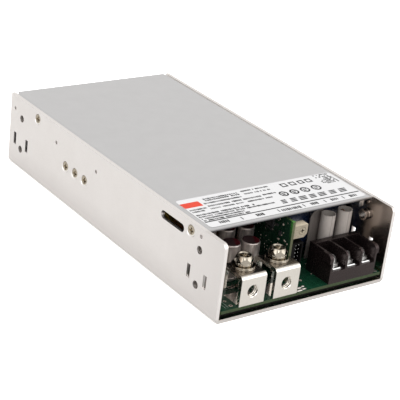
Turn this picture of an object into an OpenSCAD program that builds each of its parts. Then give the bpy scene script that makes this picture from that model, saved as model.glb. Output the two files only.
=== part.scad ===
// Low-profile enclosed power supply with an open terminal end.
// +X runs across the width, -Y is the terminal end, +Z is up.
// The origin is the centre of the underside of the chassis. All lengths are in millimetres.

/* [Chassis] */
// Outside width of the chassis
case_w = 105; // [100:1:140]
// Outside length of the chassis
case_l = 200; // [180:1:260]
// Outside height of the side walls
case_h = 41; // [38:0.5:60]
// Thickness of the folded sheet
sheet_t = 2; // [1.2:0.1:2.6]
// Inside radius of the folds
fold_r = 0.5; // [0.3:0.1:1.2]
// Radius of the upper front corners of the side walls
corner_r = 2.5; // [1:0.25:6]
// Width of the relief slits beside the rear panel
relief_w = 0.6; // [0.4:0.1:1.5]

/* [Mounting holes] */
// Diameter of the tapped side holes
mount_d = 4; // [3:0.5:5]
// Distance of the front pair from the front end
mount_front = 17.9; // [12:0.1:30]
// Distance of the rear pair from the rear end
mount_rear = 12.9; // [10:0.1:30]
// Height of the lower row above the underside
mount_low = 12.1; // [10:0.1:14]
// Distance of the upper row below the top
mount_drop = 10.9; // [9.5:0.1:14]
// Wall of the drawn collar around a tapped hole
collar_wall = 0.9; // [0.6:0.1:1.5]
// Height of the drawn collar inside the wall
collar_h = 2.4; // [1:0.1:3]

/* [Side slots] */
// Width of an upright slot
slot_w = 2.6; // [1.5:0.1:4]
// Height of an upright slot
slot_h = 7; // [4:0.1:9]
// Height of the slot centres above the underside
slot_z = 16.4; // [12:0.05:20]
// Distance of a slot from the mounting hole beside it
slot_offset = 6.5; // [5:0.1:8]
// Length of the oblong window in the left wall
window_l = 19.1; // [10:0.1:30]
// Height of the window
window_h = 4.2; // [3:0.1:5]
// Distance of the window from the front end
window_front = 31.3; // [28:0.1:45]
// Distance of the window centre below the top
window_drop = 6.5; // [5:0.1:8]

/* [Locating dimples] */
// Diameter of a pressed dimple
dimple_d = 2; // [1:0.1:3]
// Depth of a pressed dimple
dimple_h = 1.2; // [0.3:0.1:1.4]
// Distance between the pair beside the power devices
dimple_pitch = 40.3; // [38:0.1:60]
// Distance of that pair below the top
dimple_drop = 9.95; // [9:0.05:12]

/* [Cover] */
// Thickness of the cover sheet
cover_t = 1.2; // [0.8:0.1:1.6]
// Distance of the cover's front edge from the front end
cover_setback = 15.3; // [10:0.1:22]
// Gap between the cover and the side walls
cover_fit = 0.15; // [0.1:0.05:0.4]
// Inside radius of the cover folds
cover_fold_r = 0.6; // [0.3:0.1:1.2]
// Depth of the side flanges below the top
flange_drop = 8.4; // [7:0.1:9.5]
// Half length of the front flange tab
tab_reach = 4; // [3:0.1:4.5]
// Gap of the flange behind the window
flange_gap = 3; // [1:0.5:8]
// Length of flange behind the rear cover screw
flange_tail = 9; // [5:0.5:9.5]

/* [Label] */
// Length of the blank label along the case
label_l = 30; // [15:1:60]
// Thickness of the label
label_t = 0.12; // [0.08:0.02:0.3]
// Corner radius of the label
label_r = 2; // [0.5:0.5:5]
// Distance of the label from the cover's front edge
label_front = 1.8; // [0.5:0.1:10]
// Distance of the label from the cover folds
label_margin = 0.5; // [0.2:0.1:10]

/* [Countersunk screws] */
// Head diameter
csk_head_d = 5.6; // [5:0.1:6]
// Thread diameter
csk_d = 3; // [2.5:0.1:3.5]
// Depth of a head below the sheet surface
csk_sink = 0.3; // [0.1:0.05:0.4]
// Clearance around screws
screw_fit = 0.1; // [0.05:0.05:0.3]
// Width of the blades of a cross recess
cross_w = 0.9; // [0.6:0.1:1.2]
// Share of a head's width taken by its cross recess
cross_span = 0.6; // [0.5:0.05:0.7]
// Share of a head's height taken by its cross recess
cross_sink = 0.5; // [0.3:0.05:0.6]
// Straight share of the height of a pan head
pan_side = 0.4; // [0.2:0.05:0.8]
// Share of its diameter halfway up the rounding
pan_shoulder = 0.9; // [0.85:0.01:0.95]
// Share of its diameter at the top
pan_top = 0.72; // [0.7:0.01:0.8]
// Distance of the front cover screws from the front end
cover_screw_front = 26.1; // [24:0.1:27]
// Distance of the rear cover screws from the rear end
cover_screw_rear = 29.6; // [24:0.1:45]
// Distance of the cover screws below the top
cover_screw_drop = 4.8; // [4:0.1:5]
// Length of a cover screw
cover_screw_l = 6; // [4:0.5:8]

/* [Power devices] */
// Distance of the middle device screw from the rear end
device_rear = 70.65; // [66:0.05:90]
// Distance between the device screws
device_pitch = 9.55; // [8:0.05:12]
// Height of the device screws above the underside
device_z = 21.5; // [16:0.1:24]
// Length of a device screw
device_screw_l = 7; // [5:0.5:7.5]
// Length of the heat spreader bar
spreader_l = 34; // [30:1:37]
// Thickness of the heat spreader bar
spreader_t = 6; // [5.5:0.5:8]
// Thickness of the thermal pad
pad_t = 0.3; // [0.2:0.1:0.6]
// Gap between the heat spreader and the cover flange
spreader_gap = 0.6; // [0.3:0.1:2]
// Width of a power device
device_w = 9; // [6:0.5:9.5]
// Height of a device's moulded body
device_h = 9.5; // [7:0.5:11]
// Thickness of a device with its metal tab
device_t = 4.4; // [3:0.2:5]
// Height of a device's metal tab
tab_h = 15; // [12:0.5:17]
// Thickness of a device's metal tab
tab_t = 1.2; // [0.8:0.1:1.5]
// Distance of the devices below the top of the heat spreader
device_drop = 2; // [1:0.5:4]
// Width of a device lead
device_lead_w = 0.8; // [0.6:0.1:1]
// Thickness of a device lead
device_lead_t = 0.5; // [0.4:0.1:0.8]
// Distance between the leads of a device
device_lead_pitch = 2.5; // [2:0.1:3]

/* [Main board] */
// Thickness of the circuit board
board_t = 1.6; // [1:0.1:2.4]
// Height of the board above the chassis floor
board_lift = 2.6; // [2:0.1:4]
// Gap between the board and the side walls
board_side = 0.9; // [0.5:0.1:2]
// Distance of the board from the front end
board_front = 0.2; // [0:0.1:2]
// Gap between the board and the fan
board_fan_gap = 3; // [1:0.5:10]
// Thickness of the insulating sheet under the board
sheet_film_t = 0.4; // [0.2:0.1:1]
// Distance of the insulating sheet from the front end
film_front = 3; // [1:0.5:8]
// Clearance of the insulating sheet around the standoffs
film_fit = 0.5; // [0.2:0.1:1]
// Diameter of a standoff
standoff_d = 6; // [5:0.5:7]
// Thread diameter of the board screws
board_screw_d = 3; // [2.5:0.5:3.5]
// Head diameter of the board screws
board_head_d = 5.6; // [5:0.1:6]
// Head height of the board screws
board_head_h = 2; // [1.5:0.1:2.4]
// Distance of the standoffs from the sides of the board
standoff_side = 5; // [4:0.5:6]
// Distance of the front standoffs from the front end
standoff_front = 30; // [27:0.5:34]
// Distance of the middle standoffs from the front end
standoff_middle = 85; // [80:0.5:88]
// Distance of the rear standoffs from the rear edge of the board
standoff_rear = 6; // [5:0.5:9]

/* [Output terminals] */
// Width of a terminal
term_w = 14.5; // [10:0.1:17]
// Depth of a terminal from front to rear
term_d = 17; // [14:0.1:18]
// Height of a terminal above the board
term_h = 15.5; // [13:0.1:19]
// Thickness of the terminal sheet
term_t = 1.8; // [1.2:0.1:2.2]
// Inside radius of the terminal folds
term_fold_r = 0.3; // [0.2:0.1:1]
// Distance between the terminals
term_pitch = 20.2; // [18:0.1:24]
// Distance of the terminals from the front end
term_front = 0.1; // [0.1:0.1:1]
// Width of a rear leg
leg_w = 3.6; // [2:0.1:4.5]
// Thread diameter of the front hole
tap_d = 6; // [4:0.5:6]
// Diameter of the countersink of the front hole
tap_mouth_d = 6.6; // [6.2:0.1:8]
// Height of the front hole above the board
tap_h = 7.1; // [5:0.1:9]
// Height of the drawn collar behind the front hole
tap_collar_h = 1.6; // [0.8:0.1:2.5]

/* [Terminal bolts] */
// Thread diameter of a terminal bolt
bolt_d = 5; // [4:0.5:6]
// Width of the hexagon across its flats
bolt_flats = 8; // [7.5:0.5:10]
// Height of the hexagon head
bolt_head_h = 3.2; // [2.5:0.1:4]
// Length of a bolt under its head
bolt_l = 9; // [7:0.5:11]
// Turn of the hexagon about its axis
bolt_turn = 34; // [0:1:60]
// Diameter of the flat rim around the top of a bolt
bolt_top_d = 6.9; // [6:0.1:7.4]
// Height of the bevel at the corners of a bolt
bolt_bevel_h = 2.4; // [1:0.1:2.4]
// Width of that rim
bolt_rim = 0.5; // [0.3:0.1:0.8]
// Width of the blades of a bolt's cross recess
bolt_cross_w = 1.4; // [1:0.1:1.8]
// Depth of the dish in the top of a bolt
bolt_dish = 0.5; // [0.2:0.1:0.8]
// Distance of the bolts from the front end
bolt_front = 9.7; // [9:0.1:11]
// Diameter of a flat washer
washer_d = 11.6; // [10:0.1:13]
// Thickness of a flat washer
washer_t = 0.6; // [0.5:0.1:1.4]
// Number of flat washers under a bolt
washer_count = 2; // [1:1:3]
// Play between stacked washers
washer_gap = 0.05; // [0.02:0.01:0.1]
// Diameter of a spring washer
spring_d = 8.8; // [7.5:0.1:10]
// Thickness of a spring washer
spring_t = 1.7; // [0.9:0.1:2]
// Width of the slot in a spring washer
spring_slit = 0.9; // [0.5:0.1:1.5]
// Turn of that slot about the bolt
spring_turn = -70; // [-180:5:180]
// Bevel of the rims of a flat washer
washer_bevel = 0.15; // [0.1:0.05:0.2]
// Bevel of the rims of a spring washer
spring_bevel = 0.4; // [0.1:0.05:0.4]

/* [Input block] */
// Number of poles
pole_count = 3; // [2:1:3]
// Distance between poles
pole_pitch = 9.5; // [8.5:0.1:10.5]
// Thickness of a divider
divider_t = 1.1; // [1:0.1:2]
// Depth of the block from front to rear
block_d = 17.4; // [15:0.1:20]
// Height of the block above the board
block_h = 15.6; // [13:0.1:18]
// Height of the floor of the poles above the board
pole_floor_h = 6.5; // [6:0.1:8]
// Thickness of the rear wall
block_rear_t = 3; // [2:0.1:4]
// Radius of the upper front corners of the dividers
divider_r = 2.6; // [1:0.1:4]
// Distance of the block from the right wall
block_right = 5.6; // [4.8:0.1:8]
// Distance of the block from the front end
block_front = 0.2; // [0.1:0.1:1]
// Thickness of the cap catches on the end walls
catch_t = 1; // [0.5:0.1:1.2]
// Length of a cap catch
catch_l = 6; // [4:0.5:8]
// Height of a cap catch
catch_h = 4.4; // [3:0.1:5]
// Thickness of a contact plate
contact_t = 0.9; // [0.5:0.1:1]
// Gap between a contact and the dividers
contact_fit = 1.6; // [0.3:0.1:2]
// Distance of a contact behind the front of the block
contact_front = 1.2; // [0.5:0.1:3]
// Bevel of the front edge of a contact
contact_bevel = 0.4; // [0.2:0.1:0.4]
// Gap between a contact and the rear wall of its pole
contact_end = 0.3; // [0.1:0.1:1]
// Thickness of a clamp plate
clamp_t = 0.9; // [0.6:0.1:1.2]
// Side of a square clamp plate
clamp_side = 6.6; // [6:0.1:7]
// Corner radius of a clamp plate
clamp_r = 0.6; // [0.3:0.1:1.5]
// Thread diameter of a block screw
pole_screw_d = 3.5; // [3:0.5:4]
// Head diameter of a block screw
pole_head_d = 6.4; // [5:0.1:7]
// Head height of a block screw
pole_head_h = 3.2; // [1.5:0.1:3.4]
// Length of a block screw under its head
pole_screw_l = 6; // [4:0.5:7]

/* [Sleeves and barrier] */
// Outside diameter of a paper sleeve
sleeve_d = 7.4; // [6.6:0.1:8]
// Wall of a sleeve
sleeve_wall = 0.45; // [0.3:0.05:0.55]
// Heights of the two sleeves above the board
sleeve_h = [26.2, 26.8]; // [24:0.1:30]
// Distance of the outer sleeve from the right wall
sleeve_right = 10.6; // [8:0.1:11]
// Distance between the sleeves
sleeve_pitch = 10.9; // [9:0.1:12]
// Gap between the sleeves and the pieces before and behind them
sleeve_gap = 0.8; // [0.4:0.1:1.2]
// Diameter of a fuse
fuse_d = 4.4; // [3:0.1:4.5]
// Heights of the two fuses above the board
fuse_h = [21, 23.6]; // [16:0.1:24]
// Diameter of a fuse lead
lead_d = 0.7; // [0.5:0.1:0.8]
// Gap between a fuse and the lead beside it
lead_gap = 0.1; // [0.05:0.05:0.2]
// Width of the barrier tongue
barrier_w = 10.2; // [8:0.1:16]
// Height of the barrier tongue above the board
barrier_h = 26.6; // [20:0.1:28]
// Thickness of the barrier tongue
barrier_t = 0.5; // [0.3:0.1:1]
// Radius of its upper corners
barrier_r = 4.4; // [1:0.1:5]
// Overlap of the tongue behind the inner sleeve
barrier_tuck = 6.7; // [1:0.1:7]

/* [Control board] */
// Gap between the control board and the terminal beside it
control_gap = 1.65; // [1.4:0.05:4]
// Thickness of the control board
control_t = 1.5; // [1:0.1:2]
// Length of the control board
control_l = 40; // [32:1:46]
// Distance of the control board from the front end
control_front = 11.6; // [10:0.1:15]
// Gap between the control board and the cover
control_top = 1.8; // [1:0.1:4]
// Grid step of the small parts on the control board
part_grid = 1; // [0.8:0.05:1.05]

/* [Trimmer] */
// Width of the trimmer
trim_w = 8.6; // [6.5:0.1:9.5]
// Height of the trimmer
trim_h = 6.7; // [6:0.1:8]
// Depth of the trimmer
trim_d = 4.6; // [3.5:0.1:6]
// Distance of the trimmer below the top of the control board
trim_drop = 2.8; // [1:0.1:4]
// Distance of the trimmer's face behind the control board's front edge
trim_set = 0.4; // [0:0.1:2]
// Bevel of the lower outer corner
trim_bevel = 1.8; // [0.5:0.1:2.5]
// Distance of the rotor's axis from the outer side
rotor_inset = 3.2; // [2.6:0.1:3.8]
// Height of the rotor's axis above the underside of the trimmer
rotor_rise = 3.6; // [3:0.1:3.8]
// Diameter of the turning rotor
rotor_d = 3.8; // [3:0.1:4.2]
// Length of the rotor
rotor_l = 1.4; // [1:0.1:2]
// Clearance around the rotor
rotor_fit = 0.2; // [0.15:0.05:0.3]
// Depth of the rotor's cross slot
rotor_slot = 0.7; // [0.4:0.1:0.9]
// Width of the rotor's cross slot
rotor_slot_w = 0.65; // [0.5:0.05:0.8]

/* [Signal header] */
// Number of pin rows
pin_rows = 7; // [4:1:7]
// Distance between pins
pin_pitch = 2; // [1.8:0.05:2.1]
// Thickness of a pin
pin_t = 0.5; // [0.4:0.05:0.6]
// Length of pin in the shroud
pin_l = 3.4; // [2:0.1:4]
// Wall of the shroud
shroud_wall = 0.8; // [0.5:0.1:1]
// Extra thickness of the wall against the control board
shroud_base = 1.5; // [0.5:0.1:2.5]
// Room between the pins and the shroud
shroud_room = 0.7; // [0.4:0.05:1]
// Depth of the header
header_d = 7; // [6:0.1:9]
// Depth of the shroud
shroud_d = 4.4; // [4.2:0.1:5]
// Distance of the header below the top of the control board
header_drop = 12; // [11:0.1:13]
// Gap between the header and the input block's catch
header_gap = 8.9; // [6:0.1:12]

/* [Output capacitors] */
// Diameter of a front capacitor
front_cap_d = 9.4; // [8:0.1:9.8]
// Diameter of a rear capacitor
rear_cap_d = 8.2; // [6:0.1:8.5]
// Height of the cans above the board
cap_h = 19.2; // [14:0.1:24]
// Distance between capacitors in a row
cap_pitch = 10.4; // [10.2:0.1:11.5]
// Distance of the last rear capacitor from the control board
cap_right = 5.8; // [5.5:0.1:8]
// Sideways step of the rear row
cap_step = 2.7; // [2:0.1:4]
// Distance of the first front capacitor from the front end
cap_front = 26.4; // [25:0.1:28]
// Distance between the rows
cap_row = 15.4; // [12:0.1:16]
// Forward step from one capacitor of a row to the next
cap_skew = 1.7; // [0:0.1:2]
// Edge radius of a can
cap_round = 0.7; // [0.3:0.1:1.2]
// Height of the pressed groove above the foot of a can
groove_z = 2.2; // [1.8:0.1:4]
// Radius of the pressed groove
groove_r = 0.5; // [0.3:0.1:0.8]

/* [Bulk capacitors] */
// Diameter of a bulk capacitor
bulk_d = 27; // [20:0.5:30]
// Length of a bulk capacitor
bulk_l = 38; // [25:0.5:44]
// Gap of the bulk capacitors from the right wall
bulk_right = 2.5; // [2:0.1:4]
// Gap between the bulk capacitors and their neighbours
bulk_gap = 1; // [0.5:0.1:2]
// Play between a lying can and the board
bulk_play = 0.05; // [0.02:0.01:0.2]

/* [Wound parts] */
// Gap between the wound parts and their neighbours
wound_gap = 3; // [1:0.5:4]
// Diameter of the output choke
out_choke_d = 25; // [20:0.5:27]
// Diameter of the line choke
line_choke_d = 24; // [18:0.5:26]
// Diameter of the boost choke
boost_choke_d = 30; // [22:0.5:31]
// Share of a wound ring's diameter taken by its hole
choke_hole = 0.4; // [0.3:0.05:0.6]
// Height of a wound ring
choke_h = 14; // [8:0.5:20]
// Width of the transformer core
core_w = 36; // [32:0.5:40]
// Depth of the transformer core
core_d = 16; // [12:0.5:20]
// Height of the transformer core
core_h = 27; // [20:0.5:29]
// Thickness of the core's outer legs and yokes
core_leg = 4.5; // [3:0.1:6]
// Gap between the winding and the core
coil_fit = 0.25; // [0.1:0.05:0.5]

/* [Bridge rectifier] */
// Width of the rectifier
bridge_w = 24; // [18:0.5:28]
// Height of the rectifier's body
bridge_h = 15; // [10:0.5:18]
// Thickness of the rectifier
bridge_t = 3.8; // [3:0.1:4.5]
// Height of the body above the board
bridge_lift = 3; // [1:0.5:6]
// Bevel of one upper corner
bridge_bevel = 3; // [1:0.5:5]
// Thickness of a rectifier lead
bridge_lead = 1; // [0.6:0.1:1.4]
// Gap between the rectifier and the line choke
bridge_gap = 2; // [1:0.5:4]

/* [Fan] */
// Depth of the fan
fan_d = 20; // [15:0.5:28]
// Gap of the fan below the cover and above the floor
fan_fit = 0.2; // [0.1:0.05:0.5]
// Wall between the fan's air duct and its sides
fan_wall = 1.3; // [0.8:0.1:2]
// Corner radius of the fan frame
fan_corner_r = 2.5; // [1:0.1:4]
// Diameter of the impeller hub
hub_d = 18; // [12:0.5:22]
// Gap between the blade tips and the duct
tip_gap = 0.7; // [0.5:0.1:1.5]
// Number of blades
blade_count = 7; // [3:1:9]
// Pitch angle of the blades
blade_angle = 42; // [25:1:60]
// Thickness of a blade
blade_t = 1.3; // [0.8:0.1:2]
// Axial length of the impeller
blade_d = 11; // [8:0.5:12]
// Depth of a blade's root in the hub
blade_root = 0.5; // [0.3:0.1:1]
// Width of the struts that carry the motor
strut_w = 2.4; // [1.5:0.1:4]
// Thickness of the motor plate and struts
motor_t = 3.4; // [2:0.1:4]
// Axial gap between the motor plate and the impeller
motor_gap = 0.5; // [0.4:0.1:1.5]
// Diameter of the impeller shaft
shaft_d = 3; // [2:0.1:4]
// Clearance around the shaft
shaft_fit = 0.05; // [0.02:0.01:0.1]
// Distance of the fan screws from the corners of the frame
fan_hole = 3; // [2.6:0.1:4]
// Length of a fan screw
fan_screw_l = 8.5; // [6:0.5:12]
// Width of the bars of the finger guard
guard_bar = 2; // [1.2:0.1:3]
// Width of the slots of the finger guard
guard_slot = 2.6; // [1.5:0.1:4]
// Number of ring slots in the finger guard
guard_rings = 3; // [2:1:3]

/* [Hidden] */
$fn = 64;
over = 1;

front_y = -case_l / 2;
rear_y = case_l / 2;
inner_x = case_w / 2 - sheet_t;
inner_top = case_h - cover_t;
fold_out = fold_r + sheet_t;

board_z = sheet_t + board_lift;
board_top = board_z + board_t;
board_x = inner_x - board_side;

mount_y = [front_y + mount_front, rear_y - mount_rear];
mount_z = [mount_low, case_h - mount_drop];
collar_d = mount_d + 2 * collar_wall;

cover_front = front_y + cover_setback;
cover_x = inner_x - cover_fit;
cover_fold_out = cover_fold_r + cover_t;
cover_screw_y = [front_y + cover_screw_front, rear_y - cover_screw_rear];
cover_screw_z = case_h - cover_screw_drop;
window_y = front_y + window_front;
flange_z = case_h - flange_drop;

device_y = rear_y - device_rear;
dimple_z = case_h - dimple_drop;

fan_side = inner_top - sheet_t - 2 * fan_fit;
fan_z = sheet_t + fan_fit + fan_side / 2;
fan_rear_y = rear_y - sheet_t;
fan_front_y = fan_rear_y - fan_d;
fan_bore_d = fan_side - 2 * fan_wall;
fan_hole_pitch = fan_side - 2 * fan_hole;
blade_tip_d = fan_bore_d - 2 * tip_gap;
hub_y = fan_rear_y - motor_t - motor_gap;

board_rear_y = fan_front_y - board_fan_gap;
standoff_y = [front_y + standoff_front, front_y + standoff_middle, board_rear_y - standoff_rear];
standoff_x = board_x - standoff_side;

term_y = front_y + term_front;
term_top = board_top + term_h;
term_fold_out = term_fold_r + term_t;
bolt_y = front_y + bolt_front;
washer_step = washer_t + washer_gap;
washer_top = term_top + washer_count * washer_step;
bolt_seat = washer_top + spring_t;

block_y = front_y + block_front;
block_w = pole_count * pole_pitch + divider_t;
block_x = inner_x - block_right - block_w;
pole_floor = board_top + pole_floor_h;
pole_w = pole_pitch - divider_t;
pole_d = block_d - block_rear_t;
pole_screw_y = block_y + pole_d / 2;
contact_w = pole_w - 2 * contact_fit;
contact_l = pole_d - contact_front - contact_end;
clamp_z = pole_floor + contact_t;

sleeve_y = block_y + block_d + sleeve_gap + sleeve_d / 2;
sleeve_x = [inner_x - sleeve_right - sleeve_pitch, inner_x - sleeve_right];
barrier_y = sleeve_y + sleeve_d / 2 + sleeve_gap;
barrier_x = sleeve_x[0] - sleeve_d / 2 + barrier_tuck - barrier_w / 2;

header_w = shroud_base + 2 * (shroud_wall + shroud_room) + pin_pitch + pin_t;
control_face = block_x - catch_t - header_gap - header_w;
control_x = control_face - control_t;
control_y = front_y + control_front;
control_z = inner_top - control_top;
term_right = control_x - control_gap - term_w / 2;
term_x = [term_right - term_pitch, term_right];

trim_y = control_y + trim_set;
trim_z = control_z - trim_drop - trim_h;
rotor_x = control_face + trim_w - rotor_inset;
rotor_z = trim_z + rotor_rise;

header_h = 2 * (shroud_wall + shroud_room) + (pin_rows - 1) * pin_pitch + pin_t;
header_z = control_z - header_drop - header_h;
header_y = control_y;

cap_x = control_x - cap_right - 2 * cap_pitch + cap_step;
cap_y = front_y + cap_front;
cap_places = [
    [cap_x, cap_y, front_cap_d],
    [cap_x + cap_pitch, cap_y - cap_skew, front_cap_d],
    [cap_x - cap_step, cap_y + cap_row, rear_cap_d],
    [cap_x - cap_step + cap_pitch, cap_y + cap_row - cap_skew, rear_cap_d],
    [cap_x - cap_step + 2 * cap_pitch, cap_y + cap_row - 2 * cap_skew, rear_cap_d]
];

bulk_x = inner_x - bulk_right - bulk_l;
bulk_y = barrier_y + barrier_t + bulk_gap + bulk_d / 2;
bulk_z = board_top + bulk_play + bulk_d / 2;

out_choke_x = (bulk_x - inner_x) / 2;
out_choke_y = cap_y + cap_row + rear_cap_d / 2 + wound_gap + out_choke_d / 2;
core_x = (bulk_x - standoff_x + board_head_d / 2) / 2;
coil_room = (core_w - 4 * core_leg) / 2;
core_y = out_choke_y + out_choke_d / 2 + wound_gap + core_d / 2 + coil_room;
line_choke_x = inner_x - standoff_side - board_side - board_head_d / 2 - wound_gap - line_choke_d / 2;
line_choke_y = bulk_y + 1.5 * bulk_d + bulk_gap + wound_gap + line_choke_d / 2;
boost_choke_x = inner_x - standoff_side - board_side - board_head_d / 2 - boost_choke_d / 2;
boost_choke_y = board_rear_y - standoff_rear - board_head_d / 2 - wound_gap - boost_choke_d / 2;

bridge_x = line_choke_x - line_choke_d / 2 - bridge_gap - bridge_t;
bridge_y = line_choke_y;

pad_x = -inner_x;
spreader_x = pad_x + pad_t;
spreader_top = flange_z - spreader_gap;

// Sheet outline with two rounded lower corners, standing on the X axis.
module channel_outline(w, h, r) {
    translate([-w / 2, r])
        square([w, h - r]);
    translate([-w / 2 + r, 0])
        square([w - 2 * r, r]);
    for (s = [-1, 1])
        translate([s * (w / 2 - r), r])
            circle(r = r);
}

// Folded channel of even thickness.
module channel_profile(w, h, t, r_in) {
    difference() {
        channel_outline(w, h, r_in + t);
        translate([0, t])
            channel_outline(w - 2 * t, h, r_in);
    }
}

// Square with its lower right corner rounded.
module corner_outline(w, h, r) {
    square([w - r, h]);
    translate([0, r])
        square([w, h - r]);
    translate([w - r, r])
        circle(r = r);
}

// Rectangle with four rounded corners, centred.
module rounded_rect(w, l, r) {
    square([w - 2 * r, l], center = true);
    square([w, l - 2 * r], center = true);
    for (sx = [-1, 1], sy = [-1, 1])
        translate([sx * (w / 2 - r), sy * (l / 2 - r)])
            circle(r = r);
}

// Stands a drawing in X and Z upright and gives it a depth along +Y.
module upright(depth) {
    translate([0, depth, 0])
        rotate([90, 0, 0])
            linear_extrude(depth)
                children();
}

// Drawing in Y and Z with a width along +X.
module sideways(width) {
    rotate([90, 0, 90])
        linear_extrude(width)
            children();
}

// Repeats the left wall's features on both walls.
module both_walls() {
    children();
    mirror([1, 0, 0])
        children();
}

// Puts a feature that grows along +Z on the outside of the left wall, pointing inwards.
module into_left_wall(y, z) {
    translate([-case_w / 2, y, z])
        rotate([0, 90, 0])
            children();
}

// Two crossed blades that open towards -Z.
module cross_recess(span, blade_w, depth) {
    for (a = [0, 90])
        rotate([0, 0, a])
            translate([-span / 2, -blade_w / 2, -over])
                cube([span, blade_w, depth + over]);
}

// Countersunk screw along +Z with its flat head at the origin.
module flat_screw(length) {
    head_h = (csk_head_d - csk_d) / 2;
    difference() {
        union() {
            cylinder(h = head_h, d1 = csk_head_d, d2 = csk_d);
            cylinder(h = length, d = csk_d);
        }
        cross_recess(csk_head_d * cross_span, cross_w, head_h * cross_sink);
    }
}

// Hole for that screw, opened past the sheet on both sides.
module flat_screw_hole(length) {
    mouth_d = csk_head_d + 2 * screw_fit;
    hole_d = csk_d + 2 * screw_fit;
    sink = csk_sink + over;
    translate([0, 0, -over])
        cylinder(h = sink + (mouth_d - hole_d) / 2, d1 = mouth_d + 2 * sink, d2 = hole_d);
    cylinder(h = length, d = hole_d);
}

module wall_holes() {
    through = sheet_t + collar_h + over;
    for (y = mount_y, z = mount_z)
        into_left_wall(y, z)
            translate([0, 0, -over])
                cylinder(h = through + over, d = mount_d);
    for (y = mount_y, s = [-1, 1])
        translate([-case_w / 2 - over, y + s * slot_offset - slot_w / 2, slot_z - slot_h / 2])
            cube([sheet_t + 2 * over, slot_w, slot_h]);
    for (y = cover_screw_y)
        into_left_wall(y, cover_screw_z)
            flat_screw_hole(sheet_t + over);
}

module wall_collars() {
    for (y = mount_y, z = mount_z)
        translate([-inner_x - sheet_t / 2, y, z])
            rotate([0, 90, 0])
                cylinder(h = sheet_t / 2 + collar_h, d = collar_d);
}

// Places of the pressed dimples of one wall, as Y and Z.
function dimple_places() = [
    [device_y - dimple_pitch / 2, dimple_z],
    [device_y + dimple_pitch / 2, dimple_z],
    [mount_y[1] + slot_offset + slot_w / 2, flange_z + dimple_d / 2],
    [mount_y[0], mount_z[1] + collar_d / 2 + 2 * dimple_d]
];

module dimple_bumps() {
    for (p = dimple_places())
        translate([-inner_x - sheet_t / 4, p[0], p[1]])
            rotate([0, 90, 0])
                cylinder(h = sheet_t / 4 + dimple_h, d = dimple_d);
}

module dimple_dents() {
    for (p = dimple_places())
        into_left_wall(p[0], p[1])
            translate([0, 0, -over])
                cylinder(h = dimple_h + over, d = dimple_d);
}

// Oblong cut with round ends through the left wall.
module window_cut() {
    translate([-case_w / 2 - over, window_y, case_h - window_drop])
        sideways(sheet_t + 2 * over) {
            translate([window_h / 2, -window_h / 2])
                square([window_l - window_h, window_h]);
            for (y = [window_h / 2, window_l - window_h / 2])
                translate([y, 0])
                    circle(d = window_h);
        }
}

// Ring slots of the finger guard, cut through the rear panel.
module guard_slots() {
    pitch = guard_bar + guard_slot;
    r_out = fan_bore_d / 2 - guard_bar / 2;
    difference() {
        for (i = [0 : guard_rings - 1])
            difference() {
                cylinder(h = sheet_t + 2 * over, r = r_out - i * pitch);
                translate([0, 0, -over])
                    cylinder(h = sheet_t + 4 * over, r = r_out - i * pitch - guard_slot);
            }
        for (a = [45, 135])
            rotate([0, 0, a])
                translate([-fan_side, -guard_bar / 2, -over])
                    cube([2 * fan_side, guard_bar, sheet_t + 4 * over]);
    }
}

// Places of the four fan screws as X and Z.
function fan_holes() = [for (sx = [-1, 1], sz = [-1, 1])
    [sx * fan_hole_pitch / 2, fan_z + sz * fan_hole_pitch / 2]];

// Puts a feature that grows along +Z on the outside of the rear panel, pointing inwards.
module into_rear_panel(x, z) {
    translate([x, rear_y, z])
        rotate([90, 0, 0])
            children();
}

module rear_panel() {
    panel_x = inner_x - relief_w;
    foot = 3 * fold_out;
    translate([-panel_x, rear_y - foot, 0])
        sideways(2 * panel_x)
            difference() {
                corner_outline(foot, inner_top - cover_fit, fold_out);
                translate([-over, sheet_t])
                    corner_outline(foot - sheet_t + over, case_h, fold_r);
            }
}

module chassis() {
    color("gainsboro")
        difference() {
            union() {
                difference() {
                    translate([0, front_y, 0])
                        upright(case_l)
                            channel_profile(case_w, case_h, sheet_t, fold_r);
                    translate([-inner_x, rear_y - 2 * fold_out, -over])
                        cube([2 * inner_x, 2 * fold_out + over, sheet_t + 2 * over]);
                }
                rear_panel();
                both_walls() {
                    wall_collars();
                    dimple_bumps();
                }
            }
            both_walls() {
                wall_holes();
                dimple_dents();
            }
            window_cut();
            for (i = [-1 : 1])
                into_left_wall(device_y + i * device_pitch, device_z)
                    flat_screw_hole(sheet_t + over);
            translate([-case_w / 2 - over, front_y, case_h])
                rotate([0, 90, 0])
                    linear_extrude(case_w + 2 * over)
                        difference() {
                            translate([-over, -over])
                                square([corner_r + over, corner_r + over]);
                            translate([corner_r, corner_r])
                                circle(r = corner_r);
                        }
            translate([0, rear_y - sheet_t - over, fan_z])
                rotate([-90, 0, 0])
                    guard_slots();
            for (p = fan_holes())
                into_rear_panel(p[0], p[1])
                    flat_screw_hole(sheet_t + over);
        }
}

// Flange of one side of the cover, between two places along Y.
module cover_flange(y0, y1) {
    translate([-cover_x, y0, flange_z])
        cube([cover_t, y1 - y0, flange_drop - cover_fold_out]);
}

// Rolled long edge of the cover, a quarter turn that stops short of the rear panel.
module cover_roll() {
    translate([-cover_x, cover_front, 0])
        upright(rear_y - sheet_t - cover_fit - cover_front)
            intersection() {
                difference() {
                    translate([cover_fold_out, case_h - cover_fold_out])
                        circle(r = cover_fold_out);
                    translate([cover_fold_out, case_h - cover_fold_out])
                        circle(r = cover_fold_r);
                }
                translate([0, case_h - cover_fold_out])
                    square([cover_fold_out, cover_fold_out]);
            }
}

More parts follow.
